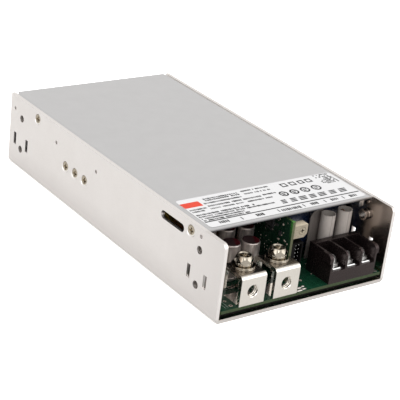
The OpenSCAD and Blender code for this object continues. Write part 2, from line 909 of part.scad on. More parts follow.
module cover() {
    flat_x = cover_x - cover_fold_out;
    tab_y = cover_screw_y[0];
    color("silver")
        difference() {
            union() {
                translate([-flat_x, cover_front, case_h - cover_t])
                    cube([2 * flat_x, rear_y - cover_fit - cover_front, cover_t]);
                both_walls() {
                    cover_roll();
                    cover_flange(tab_y - tab_reach, tab_y + tab_reach);
                    cover_flange(window_y + window_l + flange_gap, cover_screw_y[1] + flange_tail);
                }
            }
            both_walls()
                for (y = cover_screw_y)
                    into_left_wall(y, cover_screw_z)
                        cylinder(h = cover_screw_l + sheet_t, d = csk_d + 2 * screw_fit);
        }
}

module blank_label() {
    label_w = 2 * (cover_x - cover_fold_out - label_margin);
    color("white")
        translate([0, cover_front + label_front + label_l / 2, case_h])
            linear_extrude(label_t)
                rounded_rect(label_w, label_l, label_r);
}

module cover_screws() {
    color("tan")
        both_walls()
            for (y = cover_screw_y)
                into_left_wall(y, cover_screw_z)
                    translate([0, 0, csk_sink])
                        flat_screw(cover_screw_l);
}

module device_screws() {
    color("tan")
        for (i = [-1 : 1])
            into_left_wall(device_y + i * device_pitch, device_z)
                translate([0, 0, csk_sink])
                    flat_screw(device_screw_l);
}

// Bores for the device screws, from the wall into the bar.
module device_bores() {
    for (i = [-1 : 1])
        into_left_wall(device_y + i * device_pitch, device_z)
            cylinder(h = device_screw_l + csk_sink + 2 * screw_fit, d = csk_d + 2 * screw_fit);
}

module thermal_pad() {
    color("slategray")
        difference() {
            translate([pad_x, device_y - spreader_l / 2, board_top])
                cube([pad_t, spreader_l, spreader_top - board_top]);
            device_bores();
        }
}

module heat_spreader() {
    color("lightgray")
        difference() {
            translate([spreader_x, device_y - spreader_l / 2, board_top])
                cube([spreader_t, spreader_l, spreader_top - board_top]);
            device_bores();
        }
}

// Three transistors: metal tab against the bar, moulded body and leads to the board.
module power_devices() {
    face_x = spreader_x + spreader_t;
    body_t = device_t - tab_t;
    body_z = spreader_top - device_drop - tab_h;
    lead_x = face_x + tab_t + (body_t - device_lead_t) / 2;
    color("dimgray")
        for (i = [-1 : 1])
            translate([0, device_y + i * device_pitch, 0]) {
                translate([face_x, -device_w / 2, body_z])
                    cube([tab_t, device_w, tab_h]);
                translate([face_x + tab_t, -device_w / 2, body_z])
                    cube([body_t, device_w, device_h]);
                for (j = [-1 : 1])
                    translate([lead_x, j * device_lead_pitch - device_lead_w / 2, board_top])
                        cube([device_lead_t, device_lead_w, body_z + device_h / 2 - board_top]);
            }
}

// Places of the board fixings as X and Y.
function standoff_places() = [for (sx = [-1, 1], y = standoff_y) [sx * standoff_x, y]];

module insulating_sheet() {
    film_x = inner_x - fold_r;
    film_y = front_y + film_front;
    film_l = fan_front_y - fan_fit - film_y;
    color("darkslategray")
        difference() {
            translate([-film_x, film_y, sheet_t])
                cube([2 * film_x, film_l, sheet_film_t]);
            for (p = standoff_places())
                translate([p[0], p[1], sheet_t - over])
                    cylinder(h = sheet_film_t + 2 * over, d = standoff_d + 2 * film_fit);
        }
}

module main_board() {
    color("darkgreen")
        difference() {
            translate([-board_x, front_y + board_front, board_z])
                cube([2 * board_x, board_rear_y - front_y - board_front, board_t]);
            for (p = standoff_places())
                translate([p[0], p[1], board_z - over])
                    cylinder(h = board_t + 2 * over, d = board_screw_d + 2 * screw_fit);
        }
}

module board_standoffs() {
    color("goldenrod")
        for (p = standoff_places())
            translate([p[0], p[1], sheet_t])
                difference() {
                    cylinder(h = board_lift, d = standoff_d);
                    translate([0, 0, -over])
                        cylinder(h = board_lift + 2 * over, d = board_screw_d + 2 * screw_fit);
                }
}

// Screw with a flat round head, its shank along -Z from the origin.
module head_screw(head_d, head_h, thread_d, length) {
    side_h = head_h * pan_side;
    round_h = (head_h - side_h) / 2;
    difference() {
        union() {
            cylinder(h = side_h, d = head_d);
            translate([0, 0, side_h])
                cylinder(h = round_h, d1 = head_d, d2 = head_d * pan_shoulder);
            translate([0, 0, side_h + round_h])
                cylinder(h = round_h, d1 = head_d * pan_shoulder, d2 = head_d * pan_top);
            translate([0, 0, -length])
                cylinder(h = length, d = thread_d);
        }
        translate([0, 0, head_h])
            mirror([0, 0, 1])
                cross_recess(head_d * cross_span, cross_w, head_h * cross_sink);
    }
}

module board_screws() {
    color("silver")
        for (p = standoff_places())
            translate([p[0], p[1], board_top])
                head_screw(board_head_d, board_head_h, board_screw_d, board_t + board_lift - 2 * screw_fit);
}

// Folded terminal: front plate, top plate and two rear legs, standing on the board.
module output_terminal(x) {
    difference() {
        union() {
            translate([x - term_w / 2, term_y + term_d, term_top])
                rotate([180, 0, 0])
                    sideways(term_w)
                        difference() {
                            translate([term_d / 2, 0])
                                channel_outline(term_d, term_h, term_fold_out);
                            translate([term_d / 2, term_t])
                                channel_outline(term_d - 2 * term_t, term_h, term_fold_r);
                        }
            translate([x, term_y + term_t / 2, board_top + tap_h])
                rotate([-90, 0, 0])
                    cylinder(h = term_t / 2 + tap_collar_h, d = tap_d + 2 * collar_wall);
        }
        translate([x - term_w / 2 + leg_w, term_y + term_d - term_t - over, board_top - over])
            cube([term_w - 2 * leg_w, term_t + 2 * over, term_h - term_fold_out + over]);
        translate([x, term_y - over, board_top + tap_h])
            rotate([-90, 0, 0])
                cylinder(h = term_t + tap_collar_h + 2 * over, d = tap_d);
        translate([x, term_y - over, board_top + tap_h])
            rotate([-90, 0, 0])
                cylinder(h = (tap_mouth_d - tap_d) / 2 + over, d1 = tap_mouth_d + 2 * over, d2 = tap_d);
        translate([x, bolt_y, term_top - term_t - over])
            cylinder(h = term_t + 2 * over, d = bolt_d + 2 * screw_fit);
    }
}

module output_terminal_left() {
    color("lightgray")
        output_terminal(term_x[0]);
}

module output_terminal_right() {
    color("lightgray")
        output_terminal(term_x[1]);
}

// Hexagon bolt with a bevelled head, a dished top and a cross recess in the dish.
module hex_bolt() {
    corner_d = bolt_flats / cos(30);
    widen = (corner_d - bolt_top_d) / bolt_bevel_h;
    dish_d = bolt_top_d - 2 * bolt_rim;
    difference() {
        union() {
            intersection() {
                rotate([0, 0, bolt_turn])
                    cylinder(h = bolt_head_h + over, d = corner_d, $fn = 6);
                translate([0, 0, -over])
                    cylinder(h = bolt_head_h + over, d1 = bolt_top_d + widen * (bolt_head_h + over),
                             d2 = bolt_top_d);
            }
            translate([0, 0, -bolt_l])
                cylinder(h = bolt_l, d = bolt_d);
        }
        translate([0, 0, bolt_head_h - bolt_dish])
            cylinder(h = bolt_dish + over, d1 = dish_d - 2 * bolt_dish, d2 = dish_d + 2 * over);
        translate([0, 0, bolt_head_h])
            mirror([0, 0, 1])
                rotate([0, 0, bolt_turn])
                    cross_recess(bolt_flats * cross_span, bolt_cross_w, bolt_head_h * cross_sink);
    }
}

module terminal_bolts() {
    color("tan")
        for (x = term_x)
            translate([x, bolt_y, bolt_seat])
                hex_bolt();
}

// Washer around a bolt, with bevelled rims.
module washer(d, t, bevel) {
    difference() {
        union() {
            cylinder(h = bevel, d1 = d - 2 * bevel, d2 = d);
            translate([0, 0, bevel])
                cylinder(h = t - 2 * bevel, d = d);
            translate([0, 0, t - bevel])
                cylinder(h = bevel, d1 = d, d2 = d - 2 * bevel);
        }
        translate([0, 0, -over])
            cylinder(h = t + 2 * over, d = bolt_d + 2 * screw_fit);
    }
}

module spring_washers() {
    color("tan")
        for (x = term_x)
            translate([x, bolt_y, washer_top])
                difference() {
                    washer(spring_d, spring_t, spring_bevel);
                    rotate([0, 0, spring_turn])
                        translate([0, -spring_slit / 2, -over])
                            cube([spring_d, spring_slit, spring_t + 2 * over]);
                }
}

module flat_washers() {
    color("tan")
        for (x = term_x, i = [0 : washer_count - 1])
            translate([x, bolt_y, term_top + i * washer_step])
                washer(washer_d, washer_t, washer_bevel);
}

// Outline of a divider seen from the side, with a rounded upper front corner.
module divider_outline(depth, height, r) {
    square([depth, height - r]);
    translate([r, 0])
        square([depth - r, height]);
    translate([r, height - r])
        circle(r = r);
}

// X of the middle of each pole.
function pole_places() = [for (i = [0 : pole_count - 1])
    block_x + divider_t / 2 + (i + 0.5) * pole_pitch];

module input_block() {
    color("#2b2526")
        difference() {
            union() {
                translate([block_x, block_y, board_top])
                    cube([block_w, block_d, pole_floor_h]);
                translate([block_x, block_y + pole_d, board_top])
                    cube([block_w, block_rear_t, block_h]);
                for (i = [0 : pole_count])
                    translate([block_x + i * pole_pitch, block_y, board_top])
                        sideways(divider_t)
                            divider_outline(block_d, block_h, divider_r);
                for (x = [block_x - catch_t, block_x + block_w])
                    translate([x, block_y, board_top])
                        sideways(catch_t)
                            intersection() {
                                divider_outline(block_d, block_h, divider_r);
                                translate([0, block_h - catch_h])
                                    square([catch_l, catch_h]);
                            }
            }
            for (x = pole_places())
                translate([x, pole_screw_y, pole_floor - pole_screw_l])
                    cylinder(h = pole_screw_l + over, d = pole_screw_d + 2 * screw_fit);
        }
}

module input_contacts() {
    color("whitesmoke")
        for (x = pole_places())
            difference() {
                translate([x - contact_w / 2, block_y + contact_front, pole_floor])
                    sideways(contact_w)
                        polygon([[0, 0], [contact_l, 0], [contact_l, contact_t], [contact_bevel, contact_t],
                                 [0, contact_t - contact_bevel]]);
                translate([x, pole_screw_y, pole_floor - over])
                    cylinder(h = contact_t + 2 * over, d = pole_screw_d + 2 * screw_fit);
            }
}

module input_clamps() {
    color("whitesmoke")
        for (x = pole_places())
            translate([x, pole_screw_y, clamp_z])
                difference() {
                    linear_extrude(clamp_t)
                        rounded_rect(clamp_side, clamp_side, clamp_r);
                    translate([0, 0, -over])
                        cylinder(h = clamp_t + 2 * over, d = pole_screw_d + 2 * screw_fit);
                }
}

module input_screws() {
    color("whitesmoke")
        for (x = pole_places())
            translate([x, pole_screw_y, clamp_z + clamp_t])
                head_screw(pole_head_d, pole_head_h, pole_screw_d, pole_screw_l);
}

// Open paper tube around a standing fuse.
module sleeve(i) {
    translate([sleeve_x[i], sleeve_y, board_top])
        difference() {
            cylinder(h = sleeve_h[i], d = sleeve_d);
            translate([0, 0, -over])
                cylinder(h = sleeve_h[i] + 2 * over, d = sleeve_d - 2 * sleeve_wall);
        }
}

module sleeve_inner() {
    color("lightgray")
        sleeve(0);
}

module sleeve_outer() {
    color("lightgray")
        sleeve(1);
}

// Standing fuse with its upper lead bent over and led back down beside it.
module fuse(i) {
    bend_r = (fuse_d / 2 + lead_gap + lead_d / 2) / 2;
    translate([sleeve_x[i], sleeve_y, board_top]) {
        cylinder(h = fuse_h[i], d = fuse_d);
        translate([0, 0, fuse_h[i] - lead_d])
            cylinder(h = 2 * lead_d, d = lead_d);
        translate([0, bend_r, fuse_h[i] + lead_d])
            rotate([90, 0, 90])
                rotate_extrude(angle = 180)
                    translate([bend_r, 0])
                        circle(d = lead_d);
        translate([0, 2 * bend_r, 0])
            cylinder(h = fuse_h[i] + lead_d, d = lead_d);
    }
}

module fuse_inner() {
    color("saddlebrown")
        fuse(0);
}

module fuse_outer() {
    color("saddlebrown")
        fuse(1);
}

module barrier_tongue() {
    color("gray")
        translate([barrier_x, barrier_y, board_top])
            upright(barrier_t) {
                translate([-barrier_w / 2, 0])
                    square([barrier_w, barrier_h - barrier_r]);
                translate([-barrier_w / 2 + barrier_r, 0])
                    square([barrier_w - 2 * barrier_r, barrier_h]);
                for (s = [-1, 1])
                    translate([s * (barrier_w / 2 - barrier_r), barrier_h - barrier_r])
                        circle(r = barrier_r);
            }
}

module control_board() {
    color("darkgreen")
        translate([control_x, control_y, board_top])
            cube([control_t, control_l, control_z - board_top]);
}

// Chips and small parts on the terminal side of the control board, in grid steps.
// Each entry is distance behind the front edge, distance below the top, length, height, thickness.
module control_parts() {
    chips = [
        [13, 3.5, 6, 5, 1.1],
        [22, 4, 9, 5, 1.1],
        [10, 2.5, 1.8, 1, 0.6],
        [10, 5.5, 1.8, 1, 0.6],
        [20.2, 2.5, 1, 1.8, 0.6],
        [20.2, 6, 1, 1.8, 0.6],
        [14, 9.6, 1.8, 1, 0.6],
        [17, 9.6, 1.8, 1, 0.6],
        [7, 8, 1.4, 2.4, 0.8],
        [32.5, 4, 3.4, 3, 1]
    ];
    color("black")
        translate([control_x, control_y, control_z])
            for (c = chips * part_grid)
                translate([-c[4], c[0], -c[1] - c[3]])
                    cube([c[4], c[2], c[3]]);
}

// Box-shaped adjuster beside the control board with a round well for its rotor.
module trimmer_body() {
    color("#c8bea5")
        difference() {
            translate([control_face, trim_y, trim_z])
                upright(trim_d)
                    difference() {
                        square([trim_w, trim_h]);
                        translate([trim_w, 0])
                            rotate([0, 0, 45])
                                square(trim_bevel * sqrt(2), center = true);
                    }
            translate([rotor_x, trim_y - over, rotor_z])
                rotate([-90, 0, 0])
                    cylinder(h = rotor_l + rotor_fit + over, d = rotor_d + 2 * rotor_fit);
        }
}

module trimmer_rotor() {
    color("#b8ae98")
        translate([rotor_x, trim_y, rotor_z])
            rotate([-90, 0, 0])
                difference() {
                    cylinder(h = rotor_l, d = rotor_d);
                    cross_recess(rotor_d * cross_span, rotor_slot_w, rotor_slot);
                }
}

// Shroud of the signal header, open to the front.
module header_shroud() {
    well_w = header_w - shroud_base - 2 * shroud_wall;
    well_h = header_h - 2 * shroud_wall;
    color("#1c1a1a")
        difference() {
            translate([control_face, header_y, header_z])
                cube([header_w, header_d, header_h]);
            translate([control_face + shroud_base + shroud_wall, header_y - over, header_z + shroud_wall])
                cube([well_w, shroud_d + over, well_h]);
        }
}

module header_pins() {
    first = shroud_wall + shroud_room;
    first_x = control_face + shroud_base + first;
    first_y = header_y + shroud_d - pin_l;
    color("whitesmoke")
        for (i = [0 : 1], j = [0 : pin_rows - 1])
            translate([first_x + i * pin_pitch, first_y, header_z + first + j * pin_pitch])
                cube([pin_t, pin_l, pin_t]);
}

// Standing can with rounded edges and a pressed groove near its foot.
module capacitor_can(d, h) {
    rotate_extrude()
        difference() {
            union() {
                square([d / 2 - cap_round, h]);
                translate([0, cap_round])
                    square([d / 2, h - 2 * cap_round]);
                translate([d / 2 - cap_round, h - cap_round])
                    circle(r = cap_round);
                translate([d / 2 - cap_round, cap_round])
                    circle(r = cap_round);
            }
            translate([d / 2 + groove_r / 4, groove_z])
                circle(r = groove_r);
        }
}

module output_capacitor(i) {
    p = cap_places[i];
    color("darkgray")
        translate([p[0], p[1], board_top])
            capacitor_can(p[2], cap_h);
}

module bulk_capacitor(i) {
    color("midnightblue")
        translate([bulk_x, bulk_y + i * (bulk_d + bulk_gap), bulk_z])
            rotate([0, 90, 0])
                capacitor_can(bulk_d, bulk_l);
}

// Flat moulded rectifier that stands on four leads, with one bevelled corner.
module bridge_rectifier() {
    lead_step = bridge_w / 4;
    color("#2a2a2c")
        translate([bridge_x, bridge_y - bridge_w / 2, board_top]) {
            translate([0, 0, bridge_lift])
                sideways(bridge_t)
                    difference() {
                        square([bridge_w, bridge_h]);
                        translate([0, bridge_h])
                            rotate([0, 0, 45])
                                square(bridge_bevel * sqrt(2), center = true);
                    }
            for (i = [0 : 3])
                translate([bridge_t / 2 - bridge_lead / 2, (i + 0.5) * lead_step - bridge_lead / 2, 0])
                    cube([bridge_lead, bridge_lead, bridge_lift + bridge_lead]);
        }
}

// Wound ring that lies flat on the board.
module wound_ring(d, h) {
    hole_r = d * choke_hole / 2;
    wall = d / 2 - hole_r;
    round_r = min(wall, h) / 4;
    rotate_extrude()
        translate([hole_r + wall / 2, h / 2])
            rounded_rect(wall, h, round_r);
}

module output_choke() {
    color("chocolate")
        translate([out_choke_x, out_choke_y, board_top])
            wound_ring(out_choke_d, choke_h);
}

module line_choke() {
    color("chocolate")
        translate([line_choke_x, line_choke_y, board_top])
            wound_ring(line_choke_d, choke_h);
}

module boost_choke() {
    color("chocolate")
        translate([boost_choke_x, boost_choke_y, board_top])
            wound_ring(boost_choke_d, choke_h);
}

// Core with two windows beside its middle leg.
module transformer_core() {
    color("#3a3a3c")
        translate([core_x, core_y - core_d / 2, board_top])
            upright(core_d)
                difference() {
                    translate([-core_w / 2, 0])
                        square([core_w, core_h]);
                    for (s = [-1, 1])
                        translate([s * (core_leg + coil_room / 2) - coil_room / 2, core_leg])
                            square([coil_room, core_h - 2 * core_leg]);
                }
}

// Winding around the middle leg, wrapped in tape.
module transformer_winding() {
    hole_x = 2 * (core_leg + coil_fit);
    hole_y = core_d + 2 * coil_fit;
    build = coil_room - 2 * coil_fit;
    h = core_h - 2 * core_leg - 2 * coil_fit;
    color("khaki")
        translate([core_x, core_y, board_top + core_leg + coil_fit])
            linear_extrude(h)
                difference() {
                    rounded_rect(hole_x + 2 * build, hole_y + 2 * build, build / 2);
                    square([hole_x, hole_y], center = true);
                }
}

// Fan frame with its air duct, corner holes, four struts and the motor plate at the rear.
module fan_frame() {
    color("#222224")
        translate([0, fan_rear_y, fan_z])
            rotate([90, 0, 0])
                difference() {
                    union() {
                        difference() {
                            linear_extrude(fan_d)
                                rounded_rect(fan_side, fan_side, fan_corner_r);
                            translate([0, 0, -over])
                                cylinder(h = fan_d + 2 * over, d = fan_bore_d);
                        }
                        cylinder(h = motor_t, d = hub_d);
                        for (a = [0, 90])
                            rotate([0, 0, a])
                                translate([-fan_side / 2 + fan_wall / 2, -strut_w / 2, 0])
                                    cube([fan_side - fan_wall, strut_w, motor_t]);
                    }
                    translate([0, 0, motor_t / 4])
                        cylinder(h = fan_d, d = shaft_d + 2 * shaft_fit);
                    for (sx = [-1, 1], sy = [-1, 1])
                        translate([sx * fan_hole_pitch / 2, sy * fan_hole_pitch / 2, -over])
                            cylinder(h = fan_d + 2 * over, d = csk_d + 2 * screw_fit);
                }
}

// Impeller: hub cup, shaft and pitched blades trimmed to the duct.
module fan_impeller() {
    blade_w = blade_d / sin(blade_angle);
    color("#2c2c2f")
        translate([0, hub_y, fan_z])
            rotate([90, 0, 0]) {
                cylinder(h = blade_d, d = hub_d);
                translate([0, 0, -motor_gap - motor_t / 2])
                    cylinder(h = blade_d / 2 + motor_gap + motor_t / 2, d = shaft_d);
                intersection() {
                    difference() {
                        cylinder(h = blade_d, d = blade_tip_d);
                        translate([0, 0, -over])
                            cylinder(h = blade_d + 2 * over, d = hub_d - 2 * blade_root);
                    }
                    for (i = [0 : blade_count - 1])
                        rotate([0, 0, i * 360 / blade_count])
                            translate([0, 0, blade_d / 2])
                                rotate([blade_angle, 0, 0])
                                    translate([hub_d / 4, -blade_w, -blade_t / 2])
                                        cube([fan_side, 2 * blade_w, blade_t]);
                }
            }
}

module fan_screws() {
    color("tan")
        for (p = fan_holes())
            into_rear_panel(p[0], p[1])
                translate([0, 0, csk_sink])
                    flat_screw(fan_screw_l);
}

chassis();
cover();
blank_label();
cover_screws();
device_screws();
thermal_pad();
heat_spreader();
power_devices();
insulating_sheet();
main_board();
board_standoffs();
board_screws();
output_terminal_left();
output_terminal_right();
terminal_bolts();
spring_washers();
flat_washers();
input_block();
input_contacts();
input_clamps();
input_screws();
sleeve_inner();
sleeve_outer();
fuse_inner();
fuse_outer();
barrier_tongue();
control_board();
control_parts();
trimmer_body();
trimmer_rotor();
header_shroud();
header_pins();
output_capacitor(0);  // output_capacitor_1
output_capacitor(1);  // output_capacitor_2
output_capacitor(2);  // output_capacitor_3
output_capacitor(3);  // output_capacitor_4
output_capacitor(4);  // output_capacitor_5
bulk_capacitor(0);  // bulk_capacitor_1
bulk_capacitor(1);  // bulk_capacitor_2
bridge_rectifier();
output_choke();
line_choke();
boost_choke();
transformer_core();
transformer_winding();
fan_frame();
fan_impeller();
fan_screws();
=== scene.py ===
# %% [markdown]
# # A low-profile power supply, dressed for a studio photograph
# The supply is a folded metal channel with a screwed cover. Its front end is left open, so that the
# bolted output terminals, the input block and the upright control board can be reached. The solid model
# already holds every rigid piece at its true size. This lesson adds what a solid model leaves out:
# finishes, print, solder, fine threads and light. Lengths are written in millimetres, and MM turns them
# into Blender's metres.

# %% Load the solid model
import math
import bmesh
import bpy
from mathutils import Matrix, Vector


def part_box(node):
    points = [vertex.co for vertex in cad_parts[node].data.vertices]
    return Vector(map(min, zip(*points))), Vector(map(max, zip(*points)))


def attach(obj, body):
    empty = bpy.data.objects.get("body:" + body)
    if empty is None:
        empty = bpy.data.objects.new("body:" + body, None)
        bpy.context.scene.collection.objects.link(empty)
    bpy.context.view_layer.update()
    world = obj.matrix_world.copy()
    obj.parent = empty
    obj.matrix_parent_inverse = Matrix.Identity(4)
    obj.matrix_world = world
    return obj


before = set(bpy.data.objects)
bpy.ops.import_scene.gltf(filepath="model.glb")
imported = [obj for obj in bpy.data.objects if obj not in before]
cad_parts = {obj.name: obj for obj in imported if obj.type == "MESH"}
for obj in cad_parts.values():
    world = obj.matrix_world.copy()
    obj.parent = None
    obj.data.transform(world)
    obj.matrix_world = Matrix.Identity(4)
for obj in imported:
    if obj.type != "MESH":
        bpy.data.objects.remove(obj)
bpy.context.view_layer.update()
MM = 0.001

# %% [markdown]
# ## Wiring shader nodes with little code
# Every finish below is a small node tree. Nodes could be made and linked one by one, but that takes many
# lines. So one helper adds a node and fills its sockets: a socket given as a value is set, and a socket
# given as another node's output is linked. The other helpers add the few nodes that masks are made of.

# %% Shader helpers
def wire(tree, kind, settings=None, inputs=None):
    made = tree.nodes.new(kind)
    for key, value in (settings or {}).items():
        setattr(made, key, value)
    for key, value in (inputs or {}).items():
        if isinstance(value, bpy.types.NodeSocket):
            tree.links.new(value, made.inputs[key])
        else:
            made.inputs[key].default_value = value
    return made


def calc(tree, operation, a, b=0.0, clamp=False):
    settings = {"operation": operation, "use_clamp": clamp}
    return wire(tree, "ShaderNodeMath", settings, {0: a, 1: b}).outputs[0]


def times(tree, mask, *others):
    for other in others:
        mask = calc(tree, "MULTIPLY", mask, other)
    return mask


def vector(tree, operation, a, b):
    return wire(tree, "ShaderNodeVectorMath", {"operation": operation}, {0: a, 1: b}).outputs


def spread(tree, value, low, high, to_low=0.0, to_high=1.0):
    inputs = {"Value": value, "From Min": low, "From Max": high, "To Min": to_low, "To Max": to_high}
    return wire(tree, "ShaderNodeMapRange", None, inputs).outputs["Result"]


def blend(tree, factor, under, over):
    tones = [c if isinstance(c, bpy.types.NodeSocket) else (*c, 1.0) for c in (under, over)]
    inputs = {0: factor, 6: tones[0], 7: tones[1]}
    return wire(tree, "ShaderNodeMix", {"data_type": "RGBA"}, inputs).outputs[2]


print("shader helpers: wire, calc, times, vector, spread, blend")

# %% [markdown]
# ## Effects that many finishes share
# Metal, plastic and board all have a fine grain, slow blotches, slightly worn edges and some settled
# dust. Each effect could be wired anew in every material. Here it is a node group with named sockets,
# built once and placed in each finish with values of its own, so that one change to the group reaches
# them all.

# %% A group with named sockets
FLOAT = "NodeSocketFloat"
VECTOR = "NodeSocketVector"
GROUPS = {}


def make_group(name, inputs, outputs):
    tree = bpy.data.node_groups.new(name, "ShaderNodeTree")
    for label, kind, value in inputs:
        tree.interface.new_socket(label, in_out="INPUT", socket_type=kind).default_value = value
    for label, kind in outputs:
        tree.interface.new_socket(label, in_out="OUTPUT", socket_type=kind)
    GROUPS[name] = tree
    return tree, tree.nodes.new("NodeGroupInput").outputs, tree.nodes.new("NodeGroupOutput").inputs


def object_place(tree):
    return wire(tree, "ShaderNodeTexCoord").outputs["Object"]


def noise(tree, place, scale, detail, roughness=0.5):
    inputs = {"Vector": place, "Scale": scale, "Detail": detail, "Roughness": roughness}
    return wire(tree, "ShaderNodeTexNoise", None, inputs).outputs[0]


print("group helpers: make_group, object_place, noise")

# %% Grain
BLOTCH_SCALE = 0.04
tree, given, out = make_group("grain", [("Scale", FLOAT, 900.0), ("Stretch", VECTOR, (1, 1, 1))],
                              [("Fine", FLOAT), ("Blotch", FLOAT)])
place = object_place(tree)
pulled = vector(tree, "MULTIPLY", place, given["Stretch"])[0]
fine = noise(tree, pulled, given["Scale"], detail=4.0, roughness=0.6)
blotch = noise(tree, place, times(tree, given["Scale"], BLOTCH_SCALE), detail=2.0)
tree.links.new(fine, out["Fine"])
tree.links.new(blotch, out["Blotch"])
print("grain:", len(tree.nodes), "nodes")

# %% [markdown]
# ## Worn edges
# Handling rubs an edge bright, and on the black mouldings the same edge colour is a painted highlight.
# Edges could be marked by hand, but the true normal already tells where they are: it differs from the
# normal of a Bevel node only near an edge, and the bevelled normal also softens the edge in the light. A
# noise then breaks the rim up, because wear is never even.

# %% Edge wear
tree, given, out = make_group("edge_wear", [("Radius", FLOAT, 0.3 * MM), ("Strength", FLOAT, 2.0)],
                              [("Mask", FLOAT), ("Normal", VECTOR)])
soft = wire(tree, "ShaderNodeBevel", {"samples": 4}, {"Radius": given["Radius"]}).outputs["Normal"]
true = wire(tree, "ShaderNodeNewGeometry").outputs["Normal"]
apart = calc(tree, "SUBTRACT", 1.0, vector(tree, "DOT_PRODUCT", soft, true)["Value"])
rim = calc(tree, "MULTIPLY", apart, given["Strength"], True)
patchy = spread(tree, noise(tree, object_place(tree), scale=260.0, detail=3.0), 0.35, 0.65, 0.4, 1.0)
tree.links.new(times(tree, rim, patchy), out["Mask"])
tree.links.new(soft, out["Normal"])
print("edge wear:", len(tree.nodes), "nodes")

# %% [markdown]
# ## Settled dust
# Dust lies on what faces up. It could be scattered as grains, but a few pale specks in the colour are
# enough at this distance: the normal's Z says how level a surface is, and a fine noise breaks the dust
# into specks.

# %% Dust
tree, given, out = make_group("settled_dust", [("Amount", FLOAT, 0.1)], [("Mask", FLOAT)])
true = wire(tree, "ShaderNodeNewGeometry").outputs["Normal"]
level = spread(tree, wire(tree, "ShaderNodeSeparateXYZ", None, {0: true}).outputs["Z"], 0.2, 1.0)
specks = spread(tree, noise(tree, object_place(tree), scale=1400.0, detail=5.0), 0.5, 0.75)
lying = times(tree, level, specks)
tree.links.new(calc(tree, "MULTIPLY", lying, given["Amount"], True), out["Mask"])
print("shared effects:", sorted(GROUPS))

# %% [markdown]
# ## One recipe for a finish
# A finish has two tones that the grain mixes, a roughness range, a bump, and an edge colour for wear and
# painted highlight.
# Each material could be wired by hand, but a class does it once, and keeps its tree, colour and roughness
# at hand. So a finish with more to show, such as the circuit board, can paint further layers over its
# base colour. The masks of those layers are ramps along the object's own axes.

# %% The finish recipe
MID_TONES = (0.3, 0.7)
FINE_SHARE = 0.6
BUMP_STRENGTH = 0.6
DUST_GREY = (0.55, 0.53, 0.5)


class Finish:
    def __init__(self, name, dark, light, rough, metallic=0.0, scale=900.0, stretch=(1, 1, 1), bump=4e-6,
                 wear=None, radius=0.25, strength=2.0, dust=0.0, specular=0.5):
        self.material = bpy.data.materials.new(name)
        self.material.use_nodes = True
        self.tree = self.material.node_tree
        self.tree.nodes.clear()
        self.surface = wire(self.tree, "ShaderNodeBsdfPrincipled", None, {
            "Metallic": metallic, "Specular IOR Level": specular})
        output = wire(self.tree, "ShaderNodeOutputMaterial")
        self.tree.links.new(self.surface.outputs[0], output.inputs[0])
        grain = self.group("grain", Scale=scale, Stretch=stretch)
        self.fine = grain["Fine"]
        self.blotch = grain["Blotch"]
        slow_tone = self.both(self.blotch, 1 - FINE_SHARE)
        tone = calc(self.tree, "ADD", self.both(self.fine, FINE_SHARE), slow_tone)
        self.colour = blend(self.tree, spread(self.tree, tone, *MID_TONES), dark, light)
        self.rough = spread(self.tree, self.fine, *MID_TONES, *rough)
        edge = self.group("edge_wear", Radius=radius * MM, Strength=strength)
        # Edge colour: wear, and on the black mouldings a painted highlight.
        if wear:
            self.paint(edge["Mask"], wear)
        if dust:
            self.paint(self.group("settled_dust", Amount=dust)["Mask"], DUST_GREY)
        relief = wire(self.tree, "ShaderNodeBump", None, {
            "Strength": BUMP_STRENGTH, "Distance": bump, "Height": self.fine, "Normal": edge["Normal"]})
        self.tree.links.new(relief.outputs[0], self.surface.inputs["Normal"])
        self.link()

    def group(self, name, **values):
        return wire(self.tree, "ShaderNodeGroup", {"node_tree": GROUPS[name]}, values).outputs

    def place(self):
        return object_place(self.tree)

    def axes(self):
        return tuple(wire(self.tree, "ShaderNodeSeparateXYZ", None, {0: self.place()}).outputs)

    def ramp(self, value, low, high, start=0.0, end=1.0):
        return spread(self.tree, value, low * MM, high * MM, start, end)

    def both(self, *masks):
        return times(self.tree, *masks)

    def paint(self, mask, colour):
        self.colour = blend(self.tree, mask, self.colour, colour)
        self.link()

    def link(self):
        self.tree.links.new(self.colour, self.surface.inputs["Base Color"])
        self.tree.links.new(self.rough, self.surface.inputs["Roughness"])


print("a finish places", len(GROUPS), "shared effects")

# %% [markdown]
# ## The folded case
# The channel is aluminium with a pale satin finish, a little warm. The cover is the same metal with a
# cooler and darker brushed finish. A grey paint would look flat, so both are fully metallic: most of what
# they show is the white room around them, and the roughness decides how soft that reflection is. Brushing
# is noise that is squeezed along one axis.

# %% Case finishes
def dress(name, nodes, dark, light, rough, **more):
    finish = Finish(name, dark, light, rough, **more)
    for node in nodes:
        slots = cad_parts[node].data.materials
        slots.clear()
        slots.append(finish.material)
    print("%s on %s" % (name, ", ".join(nodes)))
    return finish


case_satin = dress("case_satin", ["chassis"], (0.815, 0.788, 0.772), (0.862, 0.838, 0.825), (0.36, 0.46),
                   metallic=1.0, scale=2600.0, stretch=(1, 0.25, 1), bump=3e-6, wear=(0.93, 0.915, 0.905),
                   radius=0.1, strength=2.2, dust=0.05)
cover_brushed = dress("cover_brushed", ["cover"], (0.56, 0.56, 0.568), (0.6, 0.6, 0.608), (0.36, 0.44),
                      metallic=1.0, scale=3000.0, stretch=(1, 0.5, 1), bump=5e-7, wear=(0.62, 0.62, 0.63),
                      radius=0.1, strength=0.6, dust=0.03)

# %% [markdown]
# ## Edges of the cover
# The cover's right edge rolls down, and a painted highlight along it stands for the light that it catches.
# Its front edge is painted darker, a painted shade that deepens towards the bottom of the edge, with a
# black painted shadow under it. Such a strip could be a face of its own, but the solid model's mesh
# stays as it is, so a mask made from the place on the object paints it.

# %% Cover edges
def box_mm(name):
    low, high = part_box(name)
    return low / MM, high / MM


